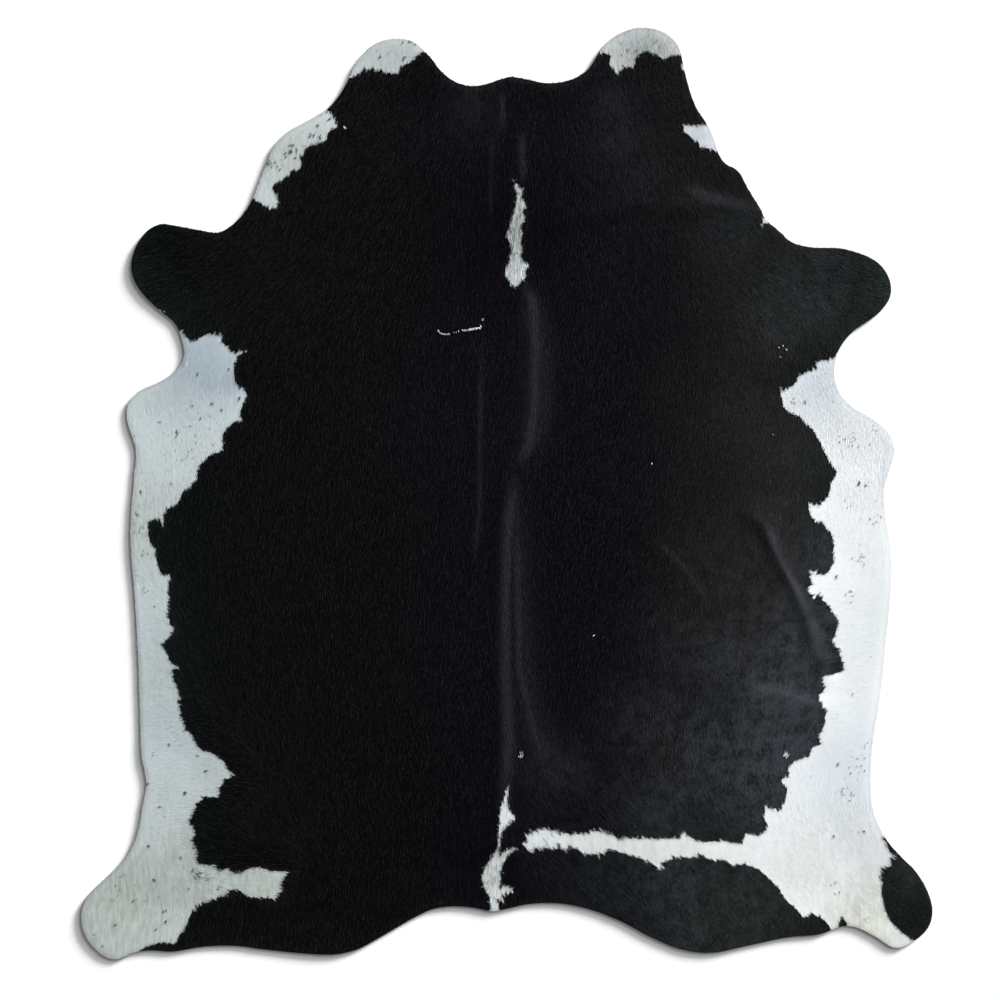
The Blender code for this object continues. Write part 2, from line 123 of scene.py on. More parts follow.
WHITE_PATCHES = {
    "left ear": [
        (-38.5, 102), (-36.8, 102.6), (-35.3, 104), (-33.6, 104.2), (-31.1, 104.1), (-29.7, 103.4),
        (-26.5, 103.1), (-26.2, 104.6), (-24, 105.6), (-22.5, 106.6), (-21.6, 108), (-19.8, 108.5),
        (-15, 118), (-44, 118), (-44, 104),
    ],
    "left side of the neck": [
        (-44.4, 94.5), (-43.2, 93.6), (-42.4, 92.1), (-41.7, 90.1), (-42.7, 89.4), (-43.7, 88.9),
        (-44.2, 86.9), (-45.6, 86.1), (-47.4, 85.7), (-49.3, 84.7), (-49.6, 83.5), (-50.6, 82.5),
        (-50.3, 80.5), (-51.1, 79.5), (-53, 79.3), (-53.7, 77.8), (-56, 76.8), (-57.4, 75.4),
        (-57.2, 74.1), (-56, 71.7), (-56.5, 70.2), (-58.2, 69.7), (-59.2, 70.5), (-60.6, 71.4),
        (-62.3, 72.4), (-70, 72), (-66, 92), (-48, 98),
    ],
    "nick behind the left foreleg": [(-83.9, 44.8), (-85.2, 44.3), (-87.5, 45.4), (-85.6, 45.3)],
    "left flank and hind leg": [
        (-82.2, 42.4), (-80.3, 40.2), (-77.8, 37.5), (-76.6, 37.3), (-74.9, 38.5), (-73.4, 39.1),
        (-70.7, 38.8), (-70, 39.3), (-70, 37.5), (-67.8, 34.9), (-66.3, 34.6), (-63.8, 35.1),
        (-66, 33.8), (-67, 31.4), (-66.8, 28.9), (-66.5, 27), (-64.3, 25.5), (-63.8, 24),
        (-65.5, 20.1), (-64.8, 17.6), (-66.3, 17.9), (-69, 15.9), (-70, 14.2), (-69.5, 10.7),
        (-72.9, 9.3), (-75.4, 7.1), (-76.1, 5.6), (-75.9, 3.6), (-77.8, 1.7), (-79.3, 0.7),
        (-80.5, -1.8), (-81.3, -3), (-83.2, -3.5), (-84.2, -5.2), (-84.5, -8.2), (-85.2, -6.2),
        (-86.2, -6.2), (-88.1, -7.1), (-87.9, -9.4), (-87.7, -11.9), (-86.4, -13.8), (-85.9, -16.3),
        (-85.2, -19.2), (-84.2, -20.2), (-82.7, -20), (-83.2, -22.9), (-83, -26.1), (-83.2, -29.5),
        (-82.7, -32.2), (-81.5, -33), (-82.2, -34.7), (-84, -36.2), (-84.5, -37.2), (-83.7, -38.6),
        (-83.2, -40.1), (-82.2, -41.8), (-80.4, -42.8), (-82, -43.6), (-81.8, -46), (-80.5, -48.7),
        (-80.3, -52.2), (-79.8, -55.3), (-78.8, -57.6), (-77.3, -59.3), (-75.9, -62.2),
        (-74.9, -63), (-72.9, -63.5), (-71.4, -64.4), (-69.5, -65.7), (-68.5, -67.6),
        (-66.8, -69.1), (-69.2, -70.1), (-70.5, -72.5), (-70.7, -74.5), (-73.9, -74.5),
        (-76.3, -76.2), (-77.3, -79.2), (-77.8, -80.9), (-76.6, -82.9), (-77.1, -85.1),
        (-76.3, -87.5), (-76.3, -90.2), (-74.6, -91.2), (-72.2, -91.2), (-70.5, -92.7),
        (-68.5, -92), (-67.3, -93.2), (-65.5, -93), (-63.8, -92.2), (-61.1, -91.7), (-58.2, -92.5),
        (-53.5, -92.9), (-55.2, -95.4), (-55.2, -97.4), (-56.5, -99.3), (-61.1, -99.3),
        (-64.1, -98.8), (-65.5, -97.4), (-67, -97.1), (-68.7, -98.3), (-71.2, -99.3),
        (-73.2, -100.3), (-76.1, -101.2), (-77.6, -103.5), (-78.8, -106.2), (-80.5, -108.7),
        (-81.5, -110.4), (-85.2, -110.1), (-87.7, -111), (-90.1, -112.1), (-92, -120), (-112, -120),
        (-112, 30), (-84.5, 40.5),
    ],
    "right ear": [
        (22.4, 108.3), (23.9, 108.1), (25.4, 107.8), (25.4, 104.9), (26.4, 104.4), (26.8, 102.6),
        (28.3, 104.4), (29.8, 104.6), (31, 104.6), (31.8, 107.1), (33, 108.2), (34.7, 108.7),
        (36.9, 107.6), (38.6, 106.6), (40.1, 107.3), (43.1, 107.6), (48, 112), (40, 120), (20, 120),
        (17, 110),
    ],
    "below the right ear": [(42.7, 105.6), (43.1, 103.8), (45, 103.6), (45, 106)],
    "right side of the neck": [
        (49.7, 90.4), (47.5, 90.4), (45, 90.4), (43.3, 90.4), (43.5, 88.9), (45, 87.7),
        (46.7, 86.4), (47.5, 85), (49.7, 84.7), (51.4, 84), (58, 86), (54, 93),
    ],
    "nick in front of the right foreleg": [(63, 67.8), (62.6, 65.2), (63.7, 66.6), (65.5, 67.6)],
    "right flank, haunch and hind leg": [
        (81.9, 35.6), (81, 34.1), (80.1, 33), (78.1, 32.6), (76.3, 32.5), (75.8, 31.5),
        (76.2, 30.8), (74.3, 30.2), (71.7, 28.7), (71, 27.3), (68.4, 25.2), (67.1, 26.2),
        (67.6, 23.5), (67.9, 21.3), (69.6, 19.8), (71.6, 19.1), (73.5, 17.1), (75.5, 15.2),
        (77, 12.2), (78.7, 9), (81.1, 5.1), (79.7, 2.6), (78.9, -0.8), (76.5, -3), (74, -2.6),
        (74.3, -4.5), (75.2, -6.4), (77.5, -7.2), (79.4, -9.2), (80.4, -11.9), (80.2, -15.5),
        (79.4, -18.7), (77.7, -20), (75.5, -19.2), (74.1, -19), (75, -22.2), (73.7, -23.4),
        (75.5, -25.9), (76.5, -24.6), (78.2, -26.8), (81.4, -31), (80.9, -34), (79.9, -35.9),
        (81.4, -38.4), (82.6, -42.1), (82.9, -43.5), (80.2, -44.3), (77.5, -45), (78.2, -47.7),
        (76.5, -49.9), (78.4, -53.6), (78, -56.8), (76.7, -60), (77, -61.7), (75.2, -62.2),
        (74, -64.7), (71.1, -65.7), (69.1, -67.1), (69.4, -69.6), (67.1, -70.3), (68.9, -72.5),
        (68.4, -75.7), (66.9, -77.9), (63.5, -77), (63.2, -79.7), (64.2, -81.6), (62.5, -83.9),
        (58.8, -83.6), (57.8, -86.1), (52.9, -85.3), (47.5, -85.7), (42.8, -83.1), (42.6, -84.6),
        (38.1, -84.8), (33.2, -84.8), (27.8, -84.7), (23.9, -83.1), (20.9, -82.9), (17, -83.8),
        (13.1, -83.1), (9.4, -82.1), (7.4, -82.4), (5.7, -83.4), (4, -86.4), (5.5, -87.8),
        (8.2, -87), (13.1, -87.2), (16.8, -87), (19, -88.5), (23.9, -88.5), (25.1, -87),
        (28.8, -88.3), (32.7, -89.5), (36.4, -91.2), (37.7, -92.4), (38.1, -90.7), (41.6, -89.3),
        (45, -89.5), (47.5, -88.5), (50.2, -90), (53.4, -90), (55.8, -91.5), (58.5, -90.8),
        (61.5, -92), (64.2, -94.2), (67.1, -97.4), (68.6, -99.8), (71.1, -102), (72.8, -104),
        (75, -103), (78, -104.7), (79.7, -107), (81, -110), (82, -120), (115, -120), (115, -60),
        (110, 30), (84, 36.5),
    ],
    "notch on the right haunch": [(68, -64), (68.5, -65.2), (69.2, -64.6), (68.8, -63.4)],
    "between the shoulders": [
        (1.5, 77.1), (2.8, 75.1), (4, 74.6), (3.5, 72.7), (4.7, 70.5), (4, 69), (4.5, 67.7),
        (3.5, 65.8), (3.5, 62.3), (3.5, 58.4), (4.2, 56.7), (5.5, 56), (4.7, 55), (4.7, 53.3),
        (3.5, 51.8), (1.8, 50.8), (0.3, 52.3), (-0.4, 53.7), (-0.4, 55.7), (0.6, 56.9), (1, 59.4),
        (0.3, 62.4), (0.1, 64.1), (1, 66.5), (1.8, 69), (2.5, 71.9), (2.3, 75.1),
    ],
    "above the tail": [
        (0.6, -71.6), (0.1, -75.2), (0.6, -77.5), (2, -79.7), (0.3, -81.6), (-1.2, -83.1),
        (-1.7, -86.8), (-2.3, -88), (-2, -85.1), (-1.9, -82.4), (-1.7, -79.2), (-1.7, -77.2),
        (-0.7, -75.2),
    ],
    "root of the tail": [
        (-2.2, -87.5), (-3.9, -89.3), (-4.9, -91.2), (-6.2, -94.2), (-5.6, -96.6), (-4.1, -99.3),
        (-4.1, -104), (-1.9, -104), (-1.9, -100.3), (-0.4, -99.3), (-0.2, -98.1), (2, -97.6),
        (0.3, -96.6), (-1.7, -96.1), (-1.5, -93.4), (-0.9, -90.5), (0.3, -88.5), (2.6, -87),
        (0.3, -87.5), (-1.4, -88.3),
    ],
}

BLACK_SPOTS = {
    "right hind leg": [
        (92.6, -84.6), (93.2, -86.9), (94.2, -88), (94.9, -88.9), (94.2, -90), (94.5, -91.2),
        (91.9, -92.2), (92, -94.2), (92.2, -96.1), (92, -97.6), (92.4, -100.3), (93.4, -103.3),
        (94.7, -105.5), (96.9, -107.7), (100.3, -109.9), (112, -112), (112, -84), (98, -82),
    ],
    "above the right hind leg's edge": [
        (81.2, -107), (81.6, -105), (82.2, -103.9), (83, -104.6), (83.7, -107),
    ],
}


def divided(outline, step):
    """A closed outline with points at most one step apart."""
    corners = np.array(outline)
    runs = []
    for start, end in zip(corners, np.roll(corners, -1, axis=0)):
        count = max(1, math.ceil(np.linalg.norm(end - start) / step))
        share = np.arange(count)[:, None] / count
        runs.append(start + (end - start) * share)
    return np.vstack(runs)


def turned(arrows, angles):
    """Arrows turned anticlockwise by angles in radians."""
    (x, y), cos, sin = arrows.T, np.cos(angles), np.sin(angles)
    return np.stack([x * cos - y * sin, x * sin + y * cos], axis=1)


def strength_at(places, points):
    """How strongly soft places act on each point, from 0 to 1."""
    total = np.zeros(len(points))
    for place in places:
        off = np.hypot(*(points - np.array([place.x, place.y]) * CM).T) / (place.reach * CM)
        total = np.maximum(total, place.strength * np.exp(-(off**2)))
    return total


def ragged(outline, seed):
    """A patch's edge, drawn out into teeth along the lie of the hair."""
    random = np.random.default_rng(seed)
    edge = divided(np.array(outline) * CM, TOOTH_STEP)
    reach = random.random(len(edge)) ** 2 * TOOTH_LENGTH
    reach *= 1.0 + LONGER_TEETH * strength_at(LONG_HAIRED, edge)
    reach[::2] *= SHORT_TOOTH
    reach[random.random(len(edge)) < GAP_SHARE] *= -1.0
    tooth = turned(lie_at(edge), random.normal(0.0, TOOTH_TURN, len(edge)))
    push = tooth * (reach - reach.mean())[:, None]
    return edge + push + random.normal(0.0, TOOTH_WOBBLE, edge.shape)


def inside(outline, points):
    """Whether each point is inside a closed outline."""
    crossed = np.zeros(len(points), bool)
    low, high = outline.min(axis=0), outline.max(axis=0)
    near = np.flatnonzero(((points >= low) & (points <= high)).all(axis=1))
    x, y = points[near].T
    hits = np.zeros(len(near), bool)
    for (x1, y1), (x2, y2) in zip(outline, np.roll(outline, -1, axis=0)):
        if y1 != y2:
            hits ^= ((y1 > y) != (y2 > y)) & (x < x1 + (y - y1) / (y2 - y1) * (x2 - x1))
    crossed[near] = hits
    return crossed


white_edges = [ragged(patch, seed) for seed, patch in enumerate(WHITE_PATCHES.values(), WHITE_SEED)]
black_edges = [ragged(spot, seed) for seed, spot in enumerate(BLACK_SPOTS.values(), BLACK_SEED)]


def is_white(points):
    """Whether the coat is white at each point."""
    white = np.zeros(len(points), bool)
    for edge in white_edges:
        white |= inside(edge, points)
    for edge in black_edges:
        white &= ~inside(edge, points)
    return white


# ---- The leather ----------------------------------------------------------------------------
# One whole cowhide, tanned with its hair on and cut by hand to the animal's outline. It is about
# 2.5 mm thick, brushed to a pale nap on its back, and lies over the ridges, creases and lifted
# edges of the frame's solid. Its grain side carries the closed undercoat.

LEATHER_DEPTH = 0.0025
UNDERCOAT_DEPTH = 0.0006
EDGE_DEPTH = 0.0027  # leather and undercoat at the cut, which the knife has pressed
EDGE_EASE = 0.010  # how far in from the cut they are at full depth
CUT_INSET = 0.0012  # the knife slants, so the grain side ends this far in from the back
CUT_STEP = 0.006
BODY_STEP = 0.014
GRID_CLEARANCE = 0.4  # of the body's step, kept free along the cut and the patches' edges
ROW_CLEARANCE = 0.002  # kept free along the patches' edges by the rows beside the cut
RELIEF_PASSES = 3  # smoothing of the solid's facets
CURVE_PARTS = 6  # of each span of the cut, while it is measured
UPRIGHT = 0.5  # a face whose normal rises or sinks less than this is part of the cut
SAME_PLACE = 1e-5
PLAN_ROUNDING = 1e-6
INSIDE_LINES = 1  # the triangles kept are those inside the cut and the patches
SHARP_ANGLE = 50  # faces that turn by more degrees than this meet in a hard edge
PROBE_START = 1.0  # how far above or under the hide its height is probed from

BACK, CUT, BLACK_GROUND, WHITE_GROUND = range(4)


def merged_solid(name):
    """The frame's solid as one connected mesh."""
    solid = bmesh.new()
    solid.from_mesh(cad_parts[name].data)
    bmesh.ops.remove_doubles(solid, verts=solid.verts, dist=SAME_PLACE)
    solid.normal_update()
    return solid


def cross(one, two):
    """Twice the area between each two arrows, positive where the second lies to the left."""
    return one[:, 0] * two[:, 1] - one[:, 1] * two[:, 0]


def cut_edge(solid):
    """The foot of the solid's upright faces, in order, anticlockwise as seen from above."""
    next_vert = {}
    for face in solid.faces:
        if abs(face.normal.z) < UPRIGHT:
            for loop in face.loops:
                if loop.link_loop_radial_next.face.normal.z < -UPRIGHT:
                    next_vert[loop.vert] = loop.link_loop_next.vert
    vert = start = next(iter(next_vert))
    edge = []
    while not edge or vert is not start:
        edge.append(vert.co.xy[:])
        vert = next_vert[vert]
    edge = np.array(edge)
    anticlockwise = cross(edge, np.roll(edge, -1, axis=0)).sum() > 0
    return edge if anticlockwise else edge[::-1]


def closed_curve(points, step):
    """Points about one step apart on a smooth closed curve through the given ones."""
    before, after, beyond = (np.roll(points, shift, axis=0) for shift in (1, -1, -2))
    share = np.linspace(0.0, 1.0, CURVE_PARTS, endpoint=False)[:, None, None]
    curve = 0.5 * (
        2 * points
        + (after - before) * share
        + (2 * before - 5 * points + 4 * after - beyond) * share**2
        + (3 * points - before - 3 * after + beyond) * share**3
    )
    curve = curve.transpose(1, 0, 2).reshape(-1, 2)
    line = np.vstack([curve, curve[:1]])
    travelled = np.append(0.0, np.cumsum(np.linalg.norm(np.diff(line, axis=0), axis=1)))
    marks = np.linspace(0.0, travelled[-1], round(travelled[-1] / step), endpoint=False)
    return np.stack([np.interp(marks, travelled, line[:, axis]) for axis in (0, 1)], axis=1)


def moved_in(edge, inset):
    """An anticlockwise closed line moved towards its inside."""
    ahead = np.roll(edge, -1, axis=0) - np.roll(edge, 1, axis=0)
    inward = np.stack([-ahead[:, 1], ahead[:, 0]], axis=1)
    return edge + inward / np.linalg.norm(inward, axis=1)[:, None] * inset


def nearest_tree(points):
    """A search tree over points in the floor's plane."""
    tree = KDTree(len(points))
    for at, (x, y) in enumerate(points):
        tree.insert((x, y, 0.0), at)
    tree.balance()
    return tree


def distances(tree, points):
    """How far each point is from the nearest one in the tree."""
    return np.array([tree.find((x, y, 0.0))[2] for x, y in points])


def body_grid(step):
    """Points of a triangular grid over the whole hide."""
    (left, near, _), (right, far, _) = cad_box
    x, y = np.meshgrid(np.arange(left, right, step), np.arange(near, far, step * math.sqrt(3) / 2))
    x[1::2] += step / 2
    return np.stack([x.ravel(), y.ravel()], axis=1)


def eased(share):
    """Eases from 0 to 1, level at both ends."""
    share = np.clip(share, 0.0, 1.0)
    return share * share * (3.0 - 2.0 * share)


def doubled_areas(points, faces):
    """Twice each triangle's area, below zero where it runs clockwise."""
    corners = points[faces]
    return cross(corners[:, 1] - corners[:, 0], corners[:, 2] - corners[:, 0])


def leather_plan(cut):
    """The leather's points and triangles seen from above, split along the patches' edges."""
    rows = [moved_in(cut, inset)[::2] for inset in (EDGE_EASE / 2, EDGE_EASE)]
    patches = white_edges + black_edges
    lines = [cut] + patches
    grid = body_grid(BODY_STEP)
    grid = grid[inside(cut, grid)]
    grid = grid[distances(nearest_tree(np.vstack(lines)), grid) > BODY_STEP * GRID_CLEARANCE]
    rows = [row[distances(nearest_tree(np.vstack(patches)), row) > ROW_CLEARANCE] for row in rows]
    edges, count = [], 0
    for line in lines:
        here = np.arange(count, count + len(line))
        edges += list(zip(here.tolist(), np.roll(here, -1).tolist()))
        count += len(line)
    points = [Vector(point) for point in np.vstack(lines + rows + [grid])]
    flat, _, faces, *_ = delaunay_2d_cdt(points, edges, [], INSIDE_LINES, PLAN_ROUNDING)
    plan = np.array([tuple(point) for point in flat])
    faces = np.array([face for face in faces if len(face) == 3])
    faces = faces[inside(cut, plan[faces].mean(axis=1))]
    clockwise = doubled_areas(plan, faces) < 0
    faces[clockwise] = faces[clockwise][:, ::-1]
    used, renamed = np.unique(faces, return_inverse=True)
    return plan[used], renamed.reshape(faces.shape)


def evened(values, faces, passes):
    """Each value drawn towards its neighbours' mean, several times over."""
    one, two = faces[:, [0, 1, 2]].ravel(), faces[:, [1, 2, 0]].ravel()
    count = np.bincount(one, minlength=len(values)) + np.bincount(two, minlength=len(values))
    for _ in range(passes):
        total = np.bincount(one, values[two], len(values))
        total += np.bincount(two, values[one], len(values))
        values = (values + total / count) / 2
    return values


def free_sides(faces):
    """The sides that only one triangle has, in its own direction."""
    sides = faces[:, [0, 1, 1, 2, 2, 0]].reshape(-1, 2)
    known = {tuple(side) for side in sides.tolist()}
    return [side for side in sides.tolist() if (side[1], side[0]) not in known]


solid = merged_solid("hide")
solid_tree = BVHTree.FromBMesh(solid)
hair_edge = closed_curve(cut_edge(solid), CUT_STEP)
leather_cut = moved_in(hair_edge, CUT_INSET)
plan, plan_faces = leather_plan(leather_cut)


def floor_gap(point):
    """How high the solid's underside stands over the floor at a point."""
    hit = solid_tree.ray_cast(Vector((*point, -PROBE_START)), Vector((0, 0, 1)))[0]
    return (hit or solid_tree.find_nearest(Vector((*point, 0.0)))[0]).z


under = evened(np.array([floor_gap(point) for point in plan]), plan_faces, RELIEF_PASSES)
under = np.maximum(under, 0.0)
cut_tree = nearest_tree(leather_cut)
from_cut = distances(cut_tree, plan)
depth = EDGE_DEPTH + (LEATHER_DEPTH + UNDERCOAT_DEPTH - EDGE_DEPTH) * eased(from_cut / EDGE_EASE)
top = under + depth
plan_white = is_white(plan[plan_faces].mean(axis=1))


def back_plan():
    """The plan of the leather's back, which the slanting cut leaves a little wider."""
    back = plan.copy()
    for at in np.flatnonzero(from_cut < SAME_PLACE):
        back[at] = hair_edge[cut_tree.find((*plan[at], 0.0))[1]]
    return back


def leather_mesh():
    """The closed sheet: its brushed back, the cut, and the grain side in two colours."""
    count = len(plan)
    walls = []
    for here, after in free_sides(plan_faces):
        walls += [(after, here, here + count), (after, here + count, after + count)]
    points = np.vstack([np.column_stack([back_plan(), under]), np.column_stack([plan, top])])
    faces = np.vstack([plan_faces[:, ::-1], np.array(walls)[:, ::-1], plan_faces + count])
    mesh = bpy.data.meshes.new("leather")
    mesh.from_pydata(points.tolist(), [], faces.tolist())
    kinds = np.concatenate([
        np.full(len(plan_faces), BACK),
        np.full(len(walls), CUT),
        np.where(plan_white, WHITE_GROUND, BLACK_GROUND),
    ])
    mesh.polygons.foreach_set("material_index", kinds.astype(np.int32))
    mesh.shade_smooth()
    mesh.set_sharp_from_angle(angle=math.radians(SHARP_ANGLE))
    return mesh


def in_scene(name, data):
    """A new object at the origin, in the scene."""
    made = bpy.data.objects.new(name, data)
    bpy.context.scene.collection.objects.link(made)
    return made


leather = in_scene("leather", leather_mesh())

# The coat's colours change slowly over the hide, each in soft places.
DUST_AND_SHEEN_PLACES = table(Place, [  # where the black coat is dusty, and painted sheen where it catches more light
    (68, -67, 20, 0.95), (70, -51, 18, 0.85), (72, -36, 15, 0.7), (57, -41, 15, 0.48),
    (52, -65, 17, 0.56), (40, -75, 14, 0.42), (38, -58, 13, 0.34), (45, -36, 13, 0.22),
    (60, -21, 17, 0.3), (70, -6, 14, 0.38), (70, 11, 15, 0.36), (62, 19, 15, 0.27),
    (48, 6, 17, 0.06), (76, 50, 14, 0.4), (67, 41, 9, 0.38), (84, 55, 12, 0.36), (92, 50, 7, 0.48),
    (57, 64, 8, 0.24), (26, 95, 5, 0.2), (28, 87, 6, 0.18), (31, 78, 6, 0.12), (-9, 94, 6, 0.16),
    (28, -95, 13, 0.22), (12, -93, 7, 0.08), (43, -95, 14, 0.5), (57, -100, 14, 0.52),
    (45, -107, 12, 0.46), (98, -94, 5, 0.46), (13, -68, 9, 0.22), (77, -14, 9, 0.6),
    (80, -30, 5, 0.6),
])
WARM = table(Place, [  # where the dust and painted sheen are brown
    (60, 12, 26, 1), (52, -12, 24, 0.9), (36, -62, 10, 0.6), (68, 30, 14, 0.6),
])
SLEEK = table(Place, [(66, 8, 18, 0.8)])  # where it is even, not mottled
GREEN = table(Place, [  # where it is greenish
    (89, 52, 15, 1), (74, 52, 14, 0.6), (60, 78, 16, 0.8), (27, 90, 12, 0.7), (24, -96, 16, 0.9),
    (7, -94, 10, 0.9), (56, -104, 22, 1), (98, -98, 14, 1), (78, 8, 6, 0.8), (78, -38, 8, 0.4),
])
BLUISH_AND_SHADED = table(Place, [  # bluish skin through the white coat; painted shade in a fold
    (-76, 33, 11, 1.1), (-72, 38, 9, 0.95), (-73, 27.6, 4, 1.3), (-68, 27.6, 4, 1.2),
    (-87, -45, 16, 0.4), (-87, -58, 14, 0.5), (76, 28, 12, 0.65), (84, -68, 16, 0.53),
    (84, -80, 12, 0.33), (48, 88, 8, 0.57), (34, 110, 12, 0.92), (90, -36, 14, 0.2),
    (-104, -106, 10, 0.25), (2, 64, 14, 0.7), (-4, -92, 9, 0.3), (-28, 107, 12, 0.3),
    (86, 14, 10, 0.12),
])
CREAM = table(Place, [  # where the white coat is dull and creamy
    (-96, -102, 22, 1), (-76, -96, 18, 0.9), (-62, -95, 14, 0.9), (-28, 107, 14, 0.35),
    (34, 109, 14, 1), (76, -94, 16, 0.35), (88, -104, 11, 1), (2, 66, 14, 1), (-3, -92, 14, 0.65),
    (-68, -70, 12, 0.4), (30, -87, 30, 0.5), (-52, 82, 10, 0.6), (-89, -8, 14, 0.6),
    (-87, -46, 18, 0.3), (-86, -80, 14, 0.35),
])

# Painted sheen: lines put into the coat's colour where the hair is pressed over a ridge and
# shines. Painted shade and partings: lines where the hair lies in shade beside a ridge or is
# parted, and stays dark. Widths and routes are in centimetres.
Sheen = namedtuple("Sheen", "half_width strength route")
SHEENS = table(Sheen, [
    (1.5, 0.29, [(4.2, 51.3), (6.3, 47.6), (7.1, 36.8), (6.7, 20.5), (5.5, 12.3), (2.8, 6.9)]),
    (3.6, 0.12, [(5, 50), (7.6, 36.8), (7.6, 20.5), (5, 8)]),
    (1.5, 0.3, [(1.8, 4.1), (0.5, -6.7), (-0.2, -24.9), (-0.2, -42.8), (0.5, -61), (-1.2, -79.2)]),
    (1.2, 0.21, [(2.2, 0.5), (2.7, -24.9), (3.2, -42.8), (5.9, -55), (9.4, -68.4)]),
    (3.4, 0.1, [(2.2, 0.5), (2.7, -24.9), (4.2, -42.8), (6.4, -55), (9.4, -68.4)]),
    (0.6, 0.145, [(-6.3, 36.8), (-6.7, 11.5), (-6.8, -5), (-8.1, -15.8)]),
    (0.7, 0.2, [(-1, 98.8), (-1, 89.9)]), (0.8, 0.21, [(3.7, 88.7), (4, 77.1)]),
    (0.5, 0.09, [(-3.7, 87.9), (-4.1, 67.7)]),
    (1.4, 0.3, [(44, 75.6), (47.5, 73.9), (52, 72.4), (57, 71.2), (62.5, 69.8)]),
    (1, 1, [(64, -8), (65.8, -13.7), (68.2, -18.4), (71.1, -23.3), (73.2, -29)]),
    (1.6, 0.42, [(68.5, -19), (73.6, -30.6), (76.2, -37.6), (77.8, -42)]),
    (0.4, 0.19, [(36, -11), (42.4, -16.4), (45.9, -21.3), (49, -26)]),
    (1.2, 0.58, [(60.3, -47.2), (68.5, -48.5), (76.8, -51.7)]),
])
# Painted shade beside ridges and in creases, and partings: the coat keeps its darkest colour there.
PARTINGS_AND_SHADE = table(Sheen, [
    (1, 0.7, [
        (58.1, -2.8), (61.5, -7.7), (65.9, -15.4), (69.6, -23.2), (72.4, -29.7), (74.7, -38.5),
    ]),
    (0.5, 0.6, [(1.3, -5), (1.3, -24.9), (1.5, -45)]),
    (0.4, 0.75, [(53, -31.2), (64, -31.8), (74, -31)]), (3, 0.6, [(47, 79), (54, 77), (58.5, 74)]),
    (1.6, 0.7, [(60, 27.6), (65, 27.6), (69.5, 27.2)]),
    (2, 0.38, [(87.5, 58), (86, 49), (83.5, 42), (76, 40)]), (1.5, 0.4, [(61.5, 61), (62.5, 53)]),
])
CREASE_SHADE = table(Sheen, [  # painted shade in faint folds and at the right flank's cut, bluish
    (0.9, 0.36, [(71, 21.6), (76, 23), (82, 25.2)]),
    (1.1, 0.34, [(75, 17.6), (81, 19.4), (87, 20.8)]),
    (0.8, 0.3, [(-79.6, -48), (-80.3, -53.5), (-82.6, -65)]),
    (1, 0.5, [
        (79.5, 30), (81, 24.5), (85.3, 20.3), (90.6, 17), (93.8, 11.2), (92.2, 4), (91.6, -6),
    ]),
])
FADE_RATE = 5.0  # a line is at full strength a sixth of the way in from its ends
FADE_FLOOR = 0.15  # and at this share of it there
RIM_REACH = 0.010  # how far in from the cut the coat is worn thin, with painted shade


def line_strength_at(lines, points):
    """How strongly soft lines colour each point; they fade towards their ends."""
    total = np.zeros(len(points))
    for line in lines:
        route = np.array(line.route) * CM
        best, along = np.full(len(points), np.inf), np.zeros(len(points))
        for leg, (start, end) in enumerate(zip(route, route[1:])):
            run = end - start
            share = np.clip((points - start) @ run / (run @ run), 0.0, 1.0)
            off = np.linalg.norm(points - start - share[:, None] * run, axis=1)
            closer = off < best
            best[closer] = off[closer]
            along[closer] = (leg + share[closer]) / (len(route) - 1)
        fade = np.clip(np.minimum(along, 1.0 - along) * FADE_RATE + FADE_FLOOR, 0.0, 1.0)
        glow = line.strength * fade * np.exp(-((best / (line.half_width * CM)) ** 2))
        total = np.maximum(total, glow)
    return total


def add_values(mesh, name, values):
    """A number at each point of a mesh."""
    mesh.attributes.new(name, "FLOAT", "POINT").data.foreach_set("value", values.astype(np.float32))


def add_colour_values(mesh, points):
    """What the coat's materials read at each point of a mesh."""
    # Painted shade and partings take away the dust and the painted sheen.
    clear_of_partings_and_shade = 1.0 - np.clip(line_strength_at(PARTINGS_AND_SHADE, points), 0.0, 1.0)
    add_values(mesh, "haze", strength_at(DUST_AND_SHEEN_PLACES, points) * clear_of_partings_and_shade)
    # Painted sheen along the ridges.
    add_values(mesh, "sheen", line_strength_at(SHEENS, points) * clear_of_partings_and_shade)
    add_values(mesh, "rim", eased(1.0 - distances(cut_tree, points) / RIM_REACH))
    cool = np.maximum(strength_at(BLUISH_AND_SHADED, points), line_strength_at(CREASE_SHADE, points))
    add_values(mesh, "cool", cool)
    for name, places in (("warm", WARM), ("green", GREEN), ("sleek", SLEEK), ("cream", CREAM)):
        add_values(mesh, name, strength_at(places, points))


add_colour_values(leather.data, np.vstack([plan, plan]))


def new_material(name):
    """A node material and its tree."""
    material = bpy.data.materials.new(name)
    material.use_nodes = True
    return material, material.node_tree


def node(tree, kind, **settings):
    """A new node with its settings."""
    made = tree.nodes.new(kind)
    for name, value in settings.items():
        setattr(made, name, value)
    return made


def join(tree, *pairs):
    """Links each pair of sockets."""
    for start, end in pairs:
        tree.links.new(start, end)


def feed(tree, socket, value):
    """Links a socket into another, or sets a plain value on it."""
    if isinstance(value, bpy.types.NodeSocket):
        tree.links.new(value, socket)
    elif isinstance(value, tuple) and len(value) == 3 and socket.type == "RGBA":
        socket.default_value = (*value, 1.0)
    else:
        socket.default_value = value


def mixed(tree, blend, share, first, second):
    """A colour mix; each input is a socket or a plain value."""
    mix = node(tree, "ShaderNodeMix", data_type="RGBA", blend_type=blend)
    for socket, value in ((mix.inputs[0], share), (mix.inputs[6], first), (mix.inputs[7], second)):
        feed(tree, socket, value)
    return mix.outputs[2]


def reckoned(tree, operation, *values):
    """A Math node's result."""
    math_node = node(tree, "ShaderNodeMath", operation=operation)
    for socket, value in zip(math_node.inputs, values):
        feed(tree, socket, value)
    return math_node.outputs[0]


